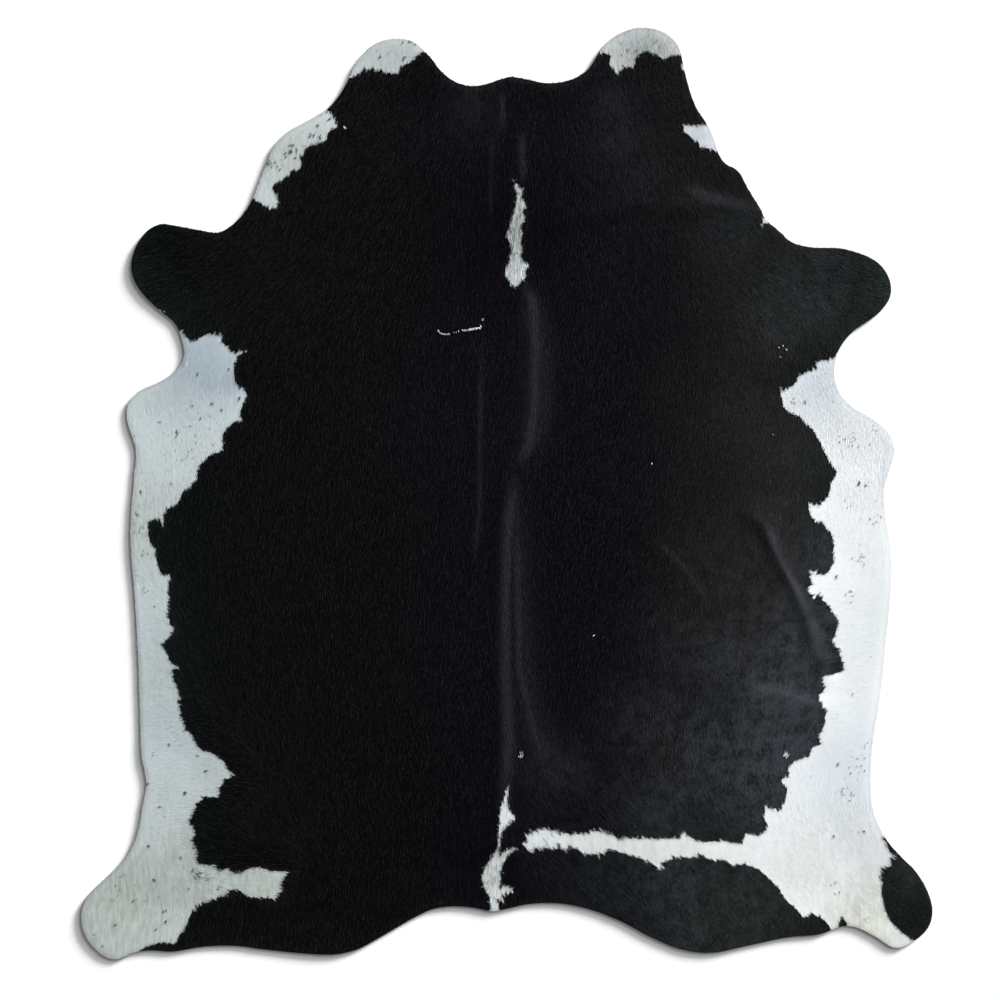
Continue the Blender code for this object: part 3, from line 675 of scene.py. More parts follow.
def value_of(tree, name):
    """A value that the mesh carries at its points."""
    return node(tree, "ShaderNodeAttribute", attribute_name=name).outputs["Fac"]


def new_value(group, name, way, default=0.0):
    """A number's socket on a node group."""
    socket = group.interface.new_socket(name, in_out=way, socket_type="NodeSocketFloat")
    socket.default_value = default


def clouds_group():
    """Soft uneven clouds, drawn out along the hide: Mask runs from 0 to 1."""
    group = bpy.data.node_groups.new("clouds", "ShaderNodeTree")
    for name in ("Scale", "Detail", "Low", "High", "Along"):
        new_value(group, name, "INPUT")
    new_value(group, "Mask", "OUTPUT")
    source, result = node(group, "NodeGroupInput"), node(group, "NodeGroupOutput")
    place = node(group, "ShaderNodeTexCoord")
    split, joined = node(group, "ShaderNodeSeparateXYZ"), node(group, "ShaderNodeCombineXYZ")
    noise = node(group, "ShaderNodeTexNoise")
    spread = node(group, "ShaderNodeMapRange", interpolation_type="SMOOTHSTEP")
    along = reckoned(group, "DIVIDE", split.outputs["Y"], source.outputs["Along"])
    join(
        group,
        (place.outputs["Object"], split.inputs[0]),
        (split.outputs["X"], joined.inputs["X"]),
        (along, joined.inputs["Y"]),
        (split.outputs["Z"], joined.inputs["Z"]),
        (joined.outputs[0], noise.inputs["Vector"]),
        (source.outputs["Scale"], noise.inputs["Scale"]),
        (source.outputs["Detail"], noise.inputs["Detail"]),
        (noise.outputs["Fac"], spread.inputs["Value"]),
        (source.outputs["Low"], spread.inputs["From Min"]),
        (source.outputs["High"], spread.inputs["From Max"]),
        (spread.outputs["Result"], result.inputs["Mask"]),
    )
    return group


CLOUDS = clouds_group()


def clouds(tree, scale, detail, low=0.4, high=0.6, along=1.0):
    """The clouds' mask at its own scale."""
    group = node(tree, "ShaderNodeGroup", node_tree=CLOUDS)
    values = {"Scale": scale, "Detail": detail, "Low": low, "High": high, "Along": along}
    for name, value in values.items():
        group.inputs[name].default_value = value
    return group.outputs["Mask"]


def faint_clouds(tree, strength, **shape):
    """The clouds' mask, from 0 to the given strength."""
    return reckoned(tree, "MULTIPLY", clouds(tree, **shape), strength)


# The black and the white coat's tints from the left flank to the right one: x in centimetres,
# colour. They are partly the coat's own and partly painted light, lighter towards the right flank.
BLACK_TINTS_AND_PAINTED_LIGHT = [
    (-84, (0.0018, 0.0036, 0.0033)), (-66, (0.0018, 0.0019, 0.0019)),
    (-30, (0.0018, 0.0018, 0.0022)), (-12, (0.0022, 0.0019, 0.0038)),
    (30, (0.0021, 0.0019, 0.0037)), (44, (0.0040, 0.0042, 0.0047)),
    (66, (0.0066, 0.0068, 0.0067)), (86, (0.0055, 0.0076, 0.0072)),
]
# Colours of the black coat's dust, which also serve as its painted sheen.
VIOLET_DUST_AND_SHEEN = (0.038, 0.043, 0.052)
BROWN_DUST_AND_SHEEN = (0.038, 0.036, 0.033)
GREEN_DUST_AND_SHEEN = (0.030, 0.041, 0.039)
WHITE_TINTS_AND_PAINTED_LIGHT = [
    (-75, (0.438, 0.490, 0.502)), (-22, (0.53, 0.58, 0.59)), (-8, (0.66, 0.71, 0.72)),
    (12, (0.66, 0.70, 0.715)), (60, (0.75, 0.78, 0.79)),
]
# the bluish tint of skin and of painted shade in the white coat
BLUISH_SHADE_TINT = (0.68, 0.72, 0.78)
CREAM_TINT = (0.73, 0.72, 0.65)
RIM_WEAR_AND_SHADE_TINT = (0.82, 0.80, 0.80)
# the colour of the painted sheen lines
SHINE = (0.057, 0.061, 0.071)
SUEDE = (0.60, 0.55, 0.46)
SUEDE_MARKS = (0.47, 0.42, 0.35)
RAW_FIBRE = (0.33, 0.31, 0.28)
RAMP_SPAN = 2.0  # metres of the hide's width that a colour ramp covers
RAMP_WAVER = 0.10  # the share of it by which the colours' borders waver
FINE_MOTTLE = 0.62  # how unevenly the dust and painted sheen lie, in small clouds and in wide ones
BROAD_MOTTLE = 0.76
MEAN_DUST_AND_SHEEN = 0.90
STREAKED = 0.25  # how much streaks and clouds brighten the creamy places, from their level
CLOUDED = 0.08
CREAM_LEVEL = 0.83


def across_hide(tree, tints):
    """A colour that changes slowly from the left flank to the right one."""
    place = node(tree, "ShaderNodeTexCoord")
    split = node(tree, "ShaderNodeSeparateXYZ")
    tree.links.new(place.outputs["Object"], split.inputs[0])
    waver = faint_clouds(tree, RAMP_WAVER, scale=3, detail=2, low=0.2, high=0.8)
    share = reckoned(tree, "MULTIPLY", split.outputs["X"], 1 / RAMP_SPAN)
    share = reckoned(tree, "ADD", share, 0.5 - RAMP_WAVER / 2)
    share = reckoned(tree, "ADD", share, waver)
    ramp = node(tree, "ShaderNodeValToRGB")
    stops = ramp.color_ramp.elements
    stops.remove(stops[1])
    for x, colour in tints:
        stop = stops.new(x * CM / RAMP_SPAN + 0.5)
        stop.color = (*colour, 1.0)
    stops.remove(stops[0])
    tree.links.new(share, ramp.inputs["Fac"])
    return ramp.outputs["Color"]


def mottle(tree):
    """How unevenly the dust and painted sheen lie on the coat; they are even where the coat is sleek.
    """
    fine = faint_clouds(tree, FINE_MOTTLE, scale=170, detail=3, low=0.34, high=0.66, along=1.5)
    broad = faint_clouds(tree, BROAD_MOTTLE, scale=32, detail=4, low=0.31, high=0.69)
    middle = (FINE_MOTTLE + BROAD_MOTTLE) / 2
    uneven = reckoned(tree, "SUBTRACT", reckoned(tree, "ADD", fine, broad), middle)
    even = reckoned(tree, "SUBTRACT", 1.0, value_of(tree, "sleek"))
    return reckoned(tree, "ADD", reckoned(tree, "MULTIPLY", uneven, even), MEAN_DUST_AND_SHEEN)


def black_colour(tree):
    """The black coat: mottled dust and painted sheen over near black, and lines of painted sheen."""
    dust = mixed(tree, "MIX", value_of(tree, "warm"), VIOLET_DUST_AND_SHEEN, BROWN_DUST_AND_SHEEN)
    dust = mixed(tree, "MIX", value_of(tree, "green"), dust, GREEN_DUST_AND_SHEEN)
    share = reckoned(tree, "MULTIPLY", value_of(tree, "haze"), mottle(tree))
    dusted_and_sheened = mixed(tree, "MIX", share, across_hide(tree, BLACK_TINTS_AND_PAINTED_LIGHT), dust)
    return mixed(tree, "MIX", value_of(tree, "sheen"), dusted_and_sheened, SHINE)


def white_colour(tree):
    """The white coat: brighter to the right, partly painted light; bluish, creamy, painted shade."""
    cooled_and_shaded = mixed(tree, "MULTIPLY", value_of(tree, "cool"), across_hide(tree, WHITE_TINTS_AND_PAINTED_LIGHT), BLUISH_SHADE_TINT)
    creamed = mixed(tree, "MULTIPLY", value_of(tree, "cream"), cooled_and_shaded, CREAM_TINT)
    # worn thin at the cut, and painted shade there
    rim_darkened = mixed(tree, "MULTIPLY", value_of(tree, "rim"), creamed, RIM_WEAR_AND_SHADE_TINT)
    uneven = faint_clouds(tree, STREAKED, scale=130, detail=4, low=0.32, high=0.68, along=5)
    uneven = reckoned(tree, "ADD", uneven, faint_clouds(tree, CLOUDED, scale=9, detail=4))
    uneven = reckoned(tree, "ADD", uneven, CREAM_LEVEL)
    return mixed(tree, "MULTIPLY", value_of(tree, "cream"), rim_darkened, uneven)


def shaded(tree, colour, value, low, high):
    """A colour scaled between two strengths by a value from 0 to 1."""
    reach = node(tree, "ShaderNodeMapRange")
    feed(tree, reach.inputs["Value"], value)
    reach.inputs["To Min"].default_value = low
    reach.inputs["To Max"].default_value = high
    scaled = node(tree, "ShaderNodeVectorMath", operation="SCALE")
    feed(tree, scaled.inputs[0], colour)
    feed(tree, scaled.inputs["Scale"], reach.outputs["Result"])
    return scaled.outputs[0]


def finish(tree, colour, height, roughness, gloss, depth, relief=1.0):
    """Gives a material's shader its colour, its gloss and a relief of the given depth."""
    shader, bump = tree.nodes["Principled BSDF"], node(tree, "ShaderNodeBump")
    feed(tree, shader.inputs["Base Color"], colour)
    shader.inputs["Roughness"].default_value = roughness
    shader.inputs["Specular IOR Level"].default_value = gloss
    bump.inputs["Strength"].default_value = relief
    bump.inputs["Distance"].default_value = depth
    join(
        tree,
        (height, bump.inputs["Height"]),
        (bump.outputs["Normal"], shader.inputs["Normal"]),
    )


def ground_material(name, colour_of, dark, depth):
    """The closed undercoat on the leather's grain side."""
    material, tree = new_material(name)
    fine = clouds(tree, scale=420, detail=2, low=0.3, high=0.7)
    colour = shaded(tree, colour_of(tree), fine, low=dark, high=1.0)
    finish(tree, colour, fine, roughness=0.75, gloss=0.15, depth=depth)
    return material


def suede_material():
    """The brushed back: pale, with a fine nap and darker handling marks."""
    material, tree = new_material("brushed_back")
    nap = clouds(tree, scale=600, detail=3, low=0.3, high=0.7)
    marks = clouds(tree, scale=5, detail=5, low=0.35, high=0.7)
    colour = mixed(tree, "MIX", marks, SUEDE, SUEDE_MARKS)
    colour = shaded(tree, colour, nap, low=0.86, high=1.06)
    finish(tree, colour, nap, roughness=0.95, gloss=0.2, depth=0.0005)
    return material


def cut_material():
    """The knife's cut: raw fibre, darker than the back."""
    material, tree = new_material("cut_edge")
    fibre = clouds(tree, scale=900, detail=2, low=0.3, high=0.7)
    colour = shaded(tree, RAW_FIBRE, fibre, low=0.7, high=1.1)
    finish(tree, colour, fibre, roughness=0.9, gloss=0.5, depth=0.0003)
    return material


for material in (
    suede_material(), cut_material(),
    ground_material("black_undercoat", black_colour, dark=0.62, depth=0.0006),
    ground_material("white_undercoat", white_colour, dark=0.95, depth=0.0001),
):
    leather.data.materials.append(material)
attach(leather, "root")
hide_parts("hide")


# ---- The coat -------------------------------------------------------------------------------
# Short straight hair, 1 to 2.5 cm long, which lies flat in overlapping locks and still grows from
# the leather. Each lock is a flat four-sided spike: a broad root, a low crest and a fine tip.
# Neighbouring locks draw together into tufts.

# A kind of hair: its locks' length, width and depth, how high their tips stand over the roots,
# how far they roll to a side in radians, how high the coat is that they grow through, the share
# of them that lie across the others, and how long they are at most on a patch's edge.
Hair = namedtuple("Hair", "length width depth rise roll through strays at_edge")
BLACK_HAIR = Hair(0.0185, 0.0029, 0.00038, 0.0012, 0.08, 0.0, 0.05, 0.007)
WHITE_HAIR = Hair(0.0220, 0.0030, 0.00007, 0.0003, 0.011, 0.0003, 0.05, 0.009)
WHITE_EDGE = Hair(0.0105, 0.0009, 0.00020, 0.0006, 0.15, 0.0005, 0.7, 0.014)
BLACK_EDGE = Hair(0.0105, 0.0009, 0.00030, 0.0007, 0.25, 0.0008, 0.7, 0.014)
RUFFLED = table(Place, [(2, 64, 16, 1), (-3, -94, 9, 0.6)])  # where the coat doesn't lie flat
RUFFLE_DEPTH = 0.00020  # what it adds to a lock's depth, its rise and its roll
RUFFLE_RISE = 0.0006
RUFFLE_ROLL = 0.10
ROOT_STEP = 0.0046
ROOT_SCATTER = 0.36  # of a step, either way
ROOT_SINK = 0.0004
TUFT_STEP = 0.012
TUFT_SCATTER = 0.42  # of a step, either way
TUFT_PULL = 0.45
TIP_SCATTER = 0.0011
STRAY_TURN = 0.60
LENGTHS = (0.72, 1.25)  # how a lock may differ from its kind in length, width, depth and rise
WIDTHS = (0.7, 1.3)
DEPTHS = (0.6, 1.4)
RISES = (0.4, 1.6)
EDGE_GROWTH = 1.2  # how much longer locks may be for each metre from a patch's edge
EDGE_STEP = 0.0018
EDGE_SPREAD = 0.0018
PAST_CUT = 0.0008  # how far a tip may reach past the grain side's edge
SHORTEST = 0.25  # of a lock's length, where the cut leaves no more room
TRIMS = 5  # how often a lock is cut back at most, and to which share of itself each time
TRIM = 0.72
STRANDS_ACROSS = 6.0
STRAND_SHUFFLE = 37.0  # sets each lock's strands apart from the next one's
STRAND_DRIFT = 0.6  # how much they change along the lock
STRAND_EDGES = (0.32, 0.68)
STRAND_DEPTH = 0.0003
BAKE_MAP = "OFBake"


def lock_object():
    """One lock of unit size, its tip towards +X, with a map across and along its strands."""
    left, right, crest, tip = (-0.5, 0.5, 0), (-0.5, -0.5, 0), (-0.2, 0, 1), (0.5, 0, 0.35)
    mesh = bpy.data.meshes.new("lock")
    mesh.from_pydata([left, right, crest, tip], [], [(0, 1, 2), (1, 3, 2), (0, 2, 3), (0, 3, 1)])
    strands = mesh.uv_layers.new(name="strands")
    across = (0.0, 1.0, 0.5, 0.5)
    for loop in mesh.loops:
        corner = mesh.vertices[loop.vertex_index].co
        strands.data[loop.index].uv = (across[loop.vertex_index], corner.x + 0.5)
    return in_scene("lock", mesh)


def root_value(tree, name):
    """What each root says under a name."""
    said = node(tree, "GeometryNodeInputNamedAttribute", data_type="FLOAT_VECTOR")
    said.inputs["Name"].default_value = name
    return said.outputs["Attribute"]


def coat_tree():
    """Places a lock at each root, turned and grown as the root's values say."""
    tree = bpy.data.node_groups.new("coat", "GeometryNodeTree")
    for name, way, kind in (
        ("Geometry", "INPUT", "Geometry"), ("Lock", "INPUT", "Object"),
        ("Hair", "INPUT", "Material"), ("Geometry", "OUTPUT", "Geometry"),
    ):
        tree.interface.new_socket(name, in_out=way, socket_type="NodeSocket" + kind)
    source, result = node(tree, "NodeGroupInput"), node(tree, "NodeGroupOutput")
    rotation = node(tree, "FunctionNodeEulerToRotation")
    lock = node(tree, "GeometryNodeObjectInfo")
    place = node(tree, "GeometryNodeInstanceOnPoints")
    realize = node(tree, "GeometryNodeRealizeInstances")
    paint = node(tree, "GeometryNodeSetMaterial")
    join(
        tree,
        (root_value(tree, "turn"), rotation.inputs[0]),
        (root_value(tree, "growth"), place.inputs["Scale"]),
        (source.outputs["Lock"], lock.inputs["Object"]),
        (source.outputs["Geometry"], place.inputs["Points"]),
        (lock.outputs["Geometry"], place.inputs["Instance"]),
        (rotation.outputs[0], place.inputs["Rotation"]),
        (place.outputs["Instances"], realize.inputs["Geometry"]),
        (realize.outputs["Geometry"], paint.inputs["Geometry"]),
        (source.outputs["Hair"], paint.inputs["Material"]),
        (paint.outputs["Geometry"], result.inputs["Geometry"]),
    )
    return tree


top_tree = BVHTree.FromPolygons(
    np.column_stack([plan, top]).tolist(), plan_faces.tolist(), all_triangles=True
)


def struck(points):
    """Where on the undercoat a plumb line from above each point ends, and on which triangle."""
    down = Vector((0, 0, -1))
    return [top_tree.ray_cast(Vector((x, y, PROBE_START)), down) for x, y in points.tolist()]


def ground_under(points):
    """The undercoat's height below each point, or none past the cut."""
    return np.array([np.nan if hit is None else hit.z for hit, *_ in struck(points)])


def on_hide(points):
    """The points that stand on the hide, and whether the coat is white at each of them."""
    faces = [face for _, _, face, _ in struck(points)]
    kept = np.array([face is not None for face in faces])
    return points[kept], plan_white[[face for face in faces if face is not None]]


def tuft_pull(points, random):
    """How far each lock's tip moves sideways towards its tuft's middle."""
    cells = np.floor(points / TUFT_STEP).astype(int)
    low = cells.min(axis=0) - 1
    shape = cells.max(axis=0) - low + 2
    middles = (np.indices(shape).transpose(1, 2, 0) + low + 0.5) * TUFT_STEP
    scatter = random.uniform(-TUFT_SCATTER, TUFT_SCATTER, middles.shape)
    middles = middles + scatter * TUFT_STEP
    nearest, best = np.full(len(points), np.inf), np.zeros_like(points)
    for step_x in (-1, 0, 1):
        for step_y in (-1, 0, 1):
            at = cells - low + (step_x, step_y)
            middle = middles[at[:, 0].clip(0, shape[0] - 1), at[:, 1].clip(0, shape[1] - 1)]
            off = np.linalg.norm(middle - points, axis=1)
            closer = off < nearest
            nearest[closer], best[closer] = off[closer], middle[closer]
    return (best - points) * TUFT_PULL


def trimmed(middles, run):
    """The share of each lock's run that keeps its ends from reaching too far past the cut."""
    share = np.ones(len(middles))
    for _ in range(TRIMS):
        over = np.zeros(len(middles), bool)
        for side in (-0.5, 0.5):
            end = middles + run * (share * side)[:, None]
            gone = np.flatnonzero(np.isnan(ground_under(end)))
            over[gone] |= distances(cut_tree, end[gone]) > PAST_CUT
        share[over] = np.maximum(share[over] * TRIM, SHORTEST)
    return share


def grow(middles, hair, seed):
    """Locks centred on the given points: where they stand, how they turn and how big they are."""
    random = np.random.default_rng(seed)
    count = len(middles)
    lie = lie_at(middles)
    stray = (random.random(count) < hair.strays) * random.normal(0.0, STRAY_TURN, count)
    lie = turned(lie, stray)
    aside = np.stack([-lie[:, 1], lie[:, 0]], axis=1)
    longest = hair.at_edge + EDGE_GROWTH * distances(patch_tree, middles)
    longer = 1.0 + LONGER_LOCKS * strength_at(LONG_HAIRED, middles)
    length = np.minimum(hair.length * longer * random.uniform(*LENGTHS, count), longest)
    width = hair.width * random.uniform(*WIDTHS, count) * np.minimum(1.0, longest / hair.length)
    pull = (tuft_pull(middles, random) * aside).sum(axis=1)
    pull = pull + random.normal(0.0, TIP_SCATTER, count)
    run = lie * length[:, None] + aside * pull[:, None]
    run *= trimmed(middles, run)[:, None]
    length = np.linalg.norm(run, axis=1)
    level, root, tip = (ground_under(middles + run * side) for side in (0.0, -0.5, 0.5))
    root, tip = (np.where(np.isnan(end), level, end) for end in (root, tip))
    ruffle = strength_at(RUFFLED, middles)
    rise = tip - root + (hair.rise + RUFFLE_RISE * ruffle) * random.uniform(*RISES, count)
    roll = random.normal(0.0, 1.0, count) * (hair.roll + RUFFLE_ROLL * ruffle)
    depth = (hair.depth + RUFFLE_DEPTH * ruffle) * random.uniform(*DEPTHS, count)
    return {
        "stand": np.column_stack([middles, root - ROOT_SINK + hair.through + rise / 2]),
        "turn": np.column_stack([roll, -np.arctan2(rise, length), np.arctan2(run[:, 1], run[:, 0])]),
        "growth": np.column_stack([length, width, depth]),
        "tone": random.random(count),
    }


patch_line = np.vstack([divided(edge, EDGE_STEP) for edge in white_edges + black_edges])
patch_tree = nearest_tree(patch_line)
LOCK = lock_object()
COAT = coat_tree()


def flat_map(mesh):
    """A map of the mesh as seen from above, filling the square."""
    places = np.empty(3 * len(mesh.vertices), np.float32)
    mesh.vertices.foreach_get("co", places)
    places = places.reshape(-1, 3)[:, :2]
    low, high = places.min(axis=0), places.max(axis=0)
    corners = np.empty(len(mesh.loops), np.int32)
    mesh.loops.foreach_get("vertex_index", corners)
    layer = mesh.uv_layers.new(name=BAKE_MAP)
    layer.data.foreach_set("uv", ((places - low) / (high - low))[corners].ravel())


def coat_piece(name, locks, hair):
    """One plain mesh of all the locks given, with its own map for a flat view from above."""
    points = bpy.data.meshes.new(name)
    points.from_pydata(locks["stand"].tolist(), [], [])
    for key in ("turn", "growth"):
        values = locks[key].astype(np.float32).ravel()
        points.attributes.new(key, "FLOAT_VECTOR", "POINT").data.foreach_set("vector", values)
    add_values(points, "tone", locks["tone"])
    add_colour_values(points, locks["stand"][:, :2])
    roots = in_scene(name + "_roots", points)
    modifier = roots.modifiers.new("coat", "NODES")
    modifier.node_group = COAT
    inputs = {"Lock": LOCK, "Hair": hair}
    for item in COAT.interface.items_tree:
        if item.name in inputs:
            modifier[item.identifier] = inputs[item.name]
    graph = bpy.context.evaluated_depsgraph_get()
    mesh = bpy.data.meshes.new_from_object(roots.evaluated_get(graph))
    mesh.name = name
    for spare in ("turn", "growth"):
        if spare in mesh.attributes:
            mesh.attributes.remove(mesh.attributes[spare])
    bpy.data.objects.remove(roots, do_unlink=True)
    flat_map(mesh)
    piece = in_scene(name, mesh)
    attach(piece, "root")
    return piece


def strands_group():
    """Fine lines along each lock: Height is high on a strand and low between two."""
    group = bpy.data.node_groups.new("strands", "ShaderNodeTree")
    new_value(group, "Count", "INPUT", STRANDS_ACROSS)
    new_value(group, "Height", "OUTPUT")
    source, result = node(group, "NodeGroupInput"), node(group, "NodeGroupOutput")
    uv = node(group, "ShaderNodeUVMap", uv_map="strands")
    split, joined = node(group, "ShaderNodeSeparateXYZ"), node(group, "ShaderNodeCombineXYZ")
    noise = node(group, "ShaderNodeTexNoise")
    spread = node(group, "ShaderNodeMapRange", interpolation_type="SMOOTHSTEP")
    noise.inputs["Scale"].default_value = 1.0
    noise.inputs["Detail"].default_value = 1.0
    spread.inputs["From Min"].default_value, spread.inputs["From Max"].default_value = STRAND_EDGES
    across = reckoned(group, "MULTIPLY", split.outputs["X"], source.outputs["Count"])
    shuffle = reckoned(group, "MULTIPLY", value_of(group, "tone"), STRAND_SHUFFLE)
    join(
        group,
        (uv.outputs["UV"], split.inputs[0]),
        (reckoned(group, "ADD", across, shuffle), joined.inputs["X"]),
        (reckoned(group, "MULTIPLY", split.outputs["Y"], STRAND_DRIFT), joined.inputs["Y"]),
        (joined.outputs[0], noise.inputs["Vector"]),
        (noise.outputs["Fac"], spread.inputs["Value"]),
        (spread.outputs["Result"], result.inputs["Height"]),
    )
    return group


STRANDS = strands_group()


def hair_material(name, colour_of, dark, roughness, gloss, relief):
    """Lying hair: as dark as given on the darkest lock, with less painted shade between strands."""
    material, tree = new_material(name)
    strands = node(tree, "ShaderNodeGroup", node_tree=STRANDS).outputs["Height"]
    tone = value_of(tree, "tone")
    colour = shaded(tree, colour_of(tree), tone, low=dark, high=2.0 - dark)
    # painted shade between strands, half as deep as the darkest lock's
    colour = shaded(tree, colour, strands, low=(1.0 + dark) / 2, high=1.0)
    finish(tree, colour, strands, roughness, gloss, STRAND_DEPTH, relief)
    return material


def root_places(random):
    """Where locks may grow: an even grid, each place moved a little at random."""
    points = body_grid(ROOT_STEP)
    return points + random.uniform(-ROOT_SCATTER, ROOT_SCATTER, points.shape) * ROOT_STEP


def edge_places(random):
    """Where the fine hairs along the patches' edges grow, on both sides."""
    return patch_line + random.normal(0.0, EDGE_SPREAD, patch_line.shape)


roots, in_white = on_hide(root_places(np.random.default_rng(7)))
white_locks = grow(roots[in_white], WHITE_HAIR, seed=21)
black_locks = grow(roots[~in_white], BLACK_HAIR, seed=22)
white_hair = hair_material(
    "white_hair", white_colour, dark=0.96, roughness=0.55, gloss=0.25, relief=0.1
)
black_hair = hair_material(
    "black_hair", black_colour, dark=0.88, roughness=0.42, gloss=0.02, relief=0.4
)
coat_pieces = [coat_piece("white_coat", white_locks, white_hair)]
roots, in_white = on_hide(edge_places(np.random.default_rng(23)))
coat_pieces += [
    coat_piece("white_edge_hair", grow(roots[in_white], WHITE_EDGE, seed=24), white_hair),
    coat_piece("black_edge_hair", grow(roots[~in_white], BLACK_EDGE, seed=25), black_hair),
]

# The black coat is too much for one mesh, so it is laid in bands from the neck to the rump.
PARTS = ("neck", "ribs", "loin", "rump")
bands = np.array_split(np.argsort(-black_locks["stand"][:, 1]), len(PARTS))
for part, band in zip(PARTS, bands):
    locks = {name: values[band] for name, values in black_locks.items()}
    coat_pieces.append(coat_piece("black_coat_" + part, locks, black_hair))


# ---- The flecks and scars -------------------------------------------------------------------
# Small tufts of dark hair grow through the white patches, singly and in loose groups, and long
# dark hairs through the patches on the spine. In the black coat a few white hairs mark old
# scars. All of them lie on top of the coat around them.

FLECK_HAIR = Hair(0.0070, 0.0015, 0.0003, 0.0008, 0.3, 0.0011, 0.05, 0.01)
FINE_FLECK = Hair(0.0054, 0.0011, 0.0003, 0.0006, 0.3, 0.0009, 0.05, 0.01)
STREAK_HAIR = Hair(0.0150, 0.0008, 0.0003, 0.0006, 0.2, 0.0008, 0.6, 0.014)
SCAR_HAIR = Hair(0.0046, 0.0013, 0.0005, 0.0010, 0.3, 0.0016, 0.05, 0.01)
FLECK_COLOUR = (0.085, 0.105, 0.115)
TUFT_REACH = 0.0015
SINGLE = 3  # tufts of no more hairs than this are fine flecks

# The middle and spread of each group in centimetres, how many tufts it has, and their hairs.
Fleck = namedtuple("Fleck", "x y spread count hairs")
FLECKS = table(Fleck, [
    (-43.7, 91.9, 0.2, 2, 7), (-45, 93.6, 0.5, 4, 3), (-46.3, 90.1, 0.1, 1, 8),
    (-48, 87.8, 0.4, 3, 5), (-46, 87.6, 0.3, 2, 6), (-52.4, 85.4, 0.1, 1, 8),
    (-52.6, 83.4, 1.2, 12, 5), (-57.4, 80.2, 1.1, 8, 4), (-52, 83.5, 3.2, 14, 1),
    (-75.9, 29.2, 0, 1, 14), (-68.2, 30.6, 0, 1, 4), (-66, 23.5, 0.3, 2, 4), (-72.4, 22, 0, 1, 8),
    (-77, 21.5, 0.2, 2, 3), (-70, 20.6, 0.1, 1, 4), (-75.1, 18.4, 0, 1, 5),
    (-85.4, 17.4, 0.2, 2, 3), (-76.8, 16.4, 1.6, 6, 2), (-81, 14.6, 0.8, 4, 4),
    (-77.9, 9, 1.3, 6, 2), (-82, 2.2, 0.2, 1, 4), (-89.6, 0.4, 0, 1, 8), (-90.6, -4.9, 0.8, 4, 3),
    (-91.4, -8.6, 0.9, 6, 3), (-89.4, -14.7, 0.7, 4, 3), (-88.6, -23.8, 1.2, 6, 2),
    (-86.4, -27.6, 0.2, 1, 3), (-82.7, -61.7, 0, 1, 5), (-86.9, -63.7, 0.3, 2, 2),
    (-75.9, -64.7, 0.2, 1, 4), (-73.7, -68.1, 0, 1, 8), (-78.6, -73.5, 0.4, 2, 7),
    (-88, -71.2, 0.1, 1, 10), (-85, -76.7, 0, 1, 6), (-87.7, -86.5, 0, 1, 6),
    (-86.5, -95, 0.1, 1, 10), (-79.8, -89.3, 0.1, 1, 5), (-78, -97, 0.1, 1, 4),
    (-91.8, -100.1, 0.1, 1, 10), (-84.1, -102.6, 0.4, 2, 5), (-83.7, -105.2, 0.1, 1, 10),
    (-86.2, -107.2, 0.2, 2, 3), (-96.2, -105.9, 0.2, 1, 6), (-99.2, -111, 0.2, 1, 4),
    (-94.8, -97.5, 1.6, 6, 3), (-100.7, -108.7, 0.3, 2, 3), (-75.9, -92.8, 0.7, 6, 4),
    (-70.7, -96.9, 0.2, 2, 3), (-31.1, 107.1, 0.1, 1, 9), (-25.2, 111.2, 0.4, 3, 5),
    (-23.1, 110.4, 0.3, 2, 6), (-25.1, 107, 0.4, 3, 4), (-29, 109.5, 2.6, 7, 2),
    (33.5, 111.4, 3, 14, 2), (30, 108.8, 1.4, 5, 2), (70.2, 22.8, 0.5, 3, 3),
    (73.5, 22.3, 0.1, 1, 4), (90, 16.2, 0.4, 3, 2), (84.8, 12.6, 1.8, 12, 2), (86.5, 2.4, 0, 1, 18),
    (88.2, 1.9, 0.1, 1, 4), (90, -6.9, 0.9, 4, 3), (87.2, -16, 1.3, 7, 3), (81, -20.5, 0.2, 2, 4),
    (84.2, -25, 1.1, 5, 3), (84.8, -49.2, 0.2, 1, 3), (88.8, -61.5, 0.8, 4, 2),
    (81, -66.6, 0.3, 2, 4), (87, -66.8, 1.3, 9, 3), (83.4, -73, 0.9, 7, 3),
    (88.3, -82.4, 0.2, 1, 6), (80.2, -84.1, 0.2, 1, 4), (80.4, -96.7, 0.8, 4, 3),
    (88.5, -104.5, 0.4, 2, 3), (-80, 14, 8, 26, 1), (-89.5, -10, 6, 12, 1), (85, 0, 10, 26, 1),
    (85, -66, 9, 22, 1), (-86, -92, 11, 36, 1), (33, 109, 4, 10, 1),
])
# Long dark hairs that lie through the narrow patches on the spine.
STREAKS = table(Fleck, [
    (3.2, 73.5, 0.9, 12, 1), (3.2, 69, 1.2, 20, 1), (2.2, 64, 1.3, 24, 1), (2, 59.5, 0.9, 14, 1),
    (-0.4, -78, 1, 8, 1), (-2.6, -90, 1.4, 12, 1), (-3.8, -95, 1.3, 16, 1),
    (-3.2, -101, 1.2, 14, 1), (11, -85, 2.2, 8, 1), (-74.5, -94, 1.5, 14, 1),
])

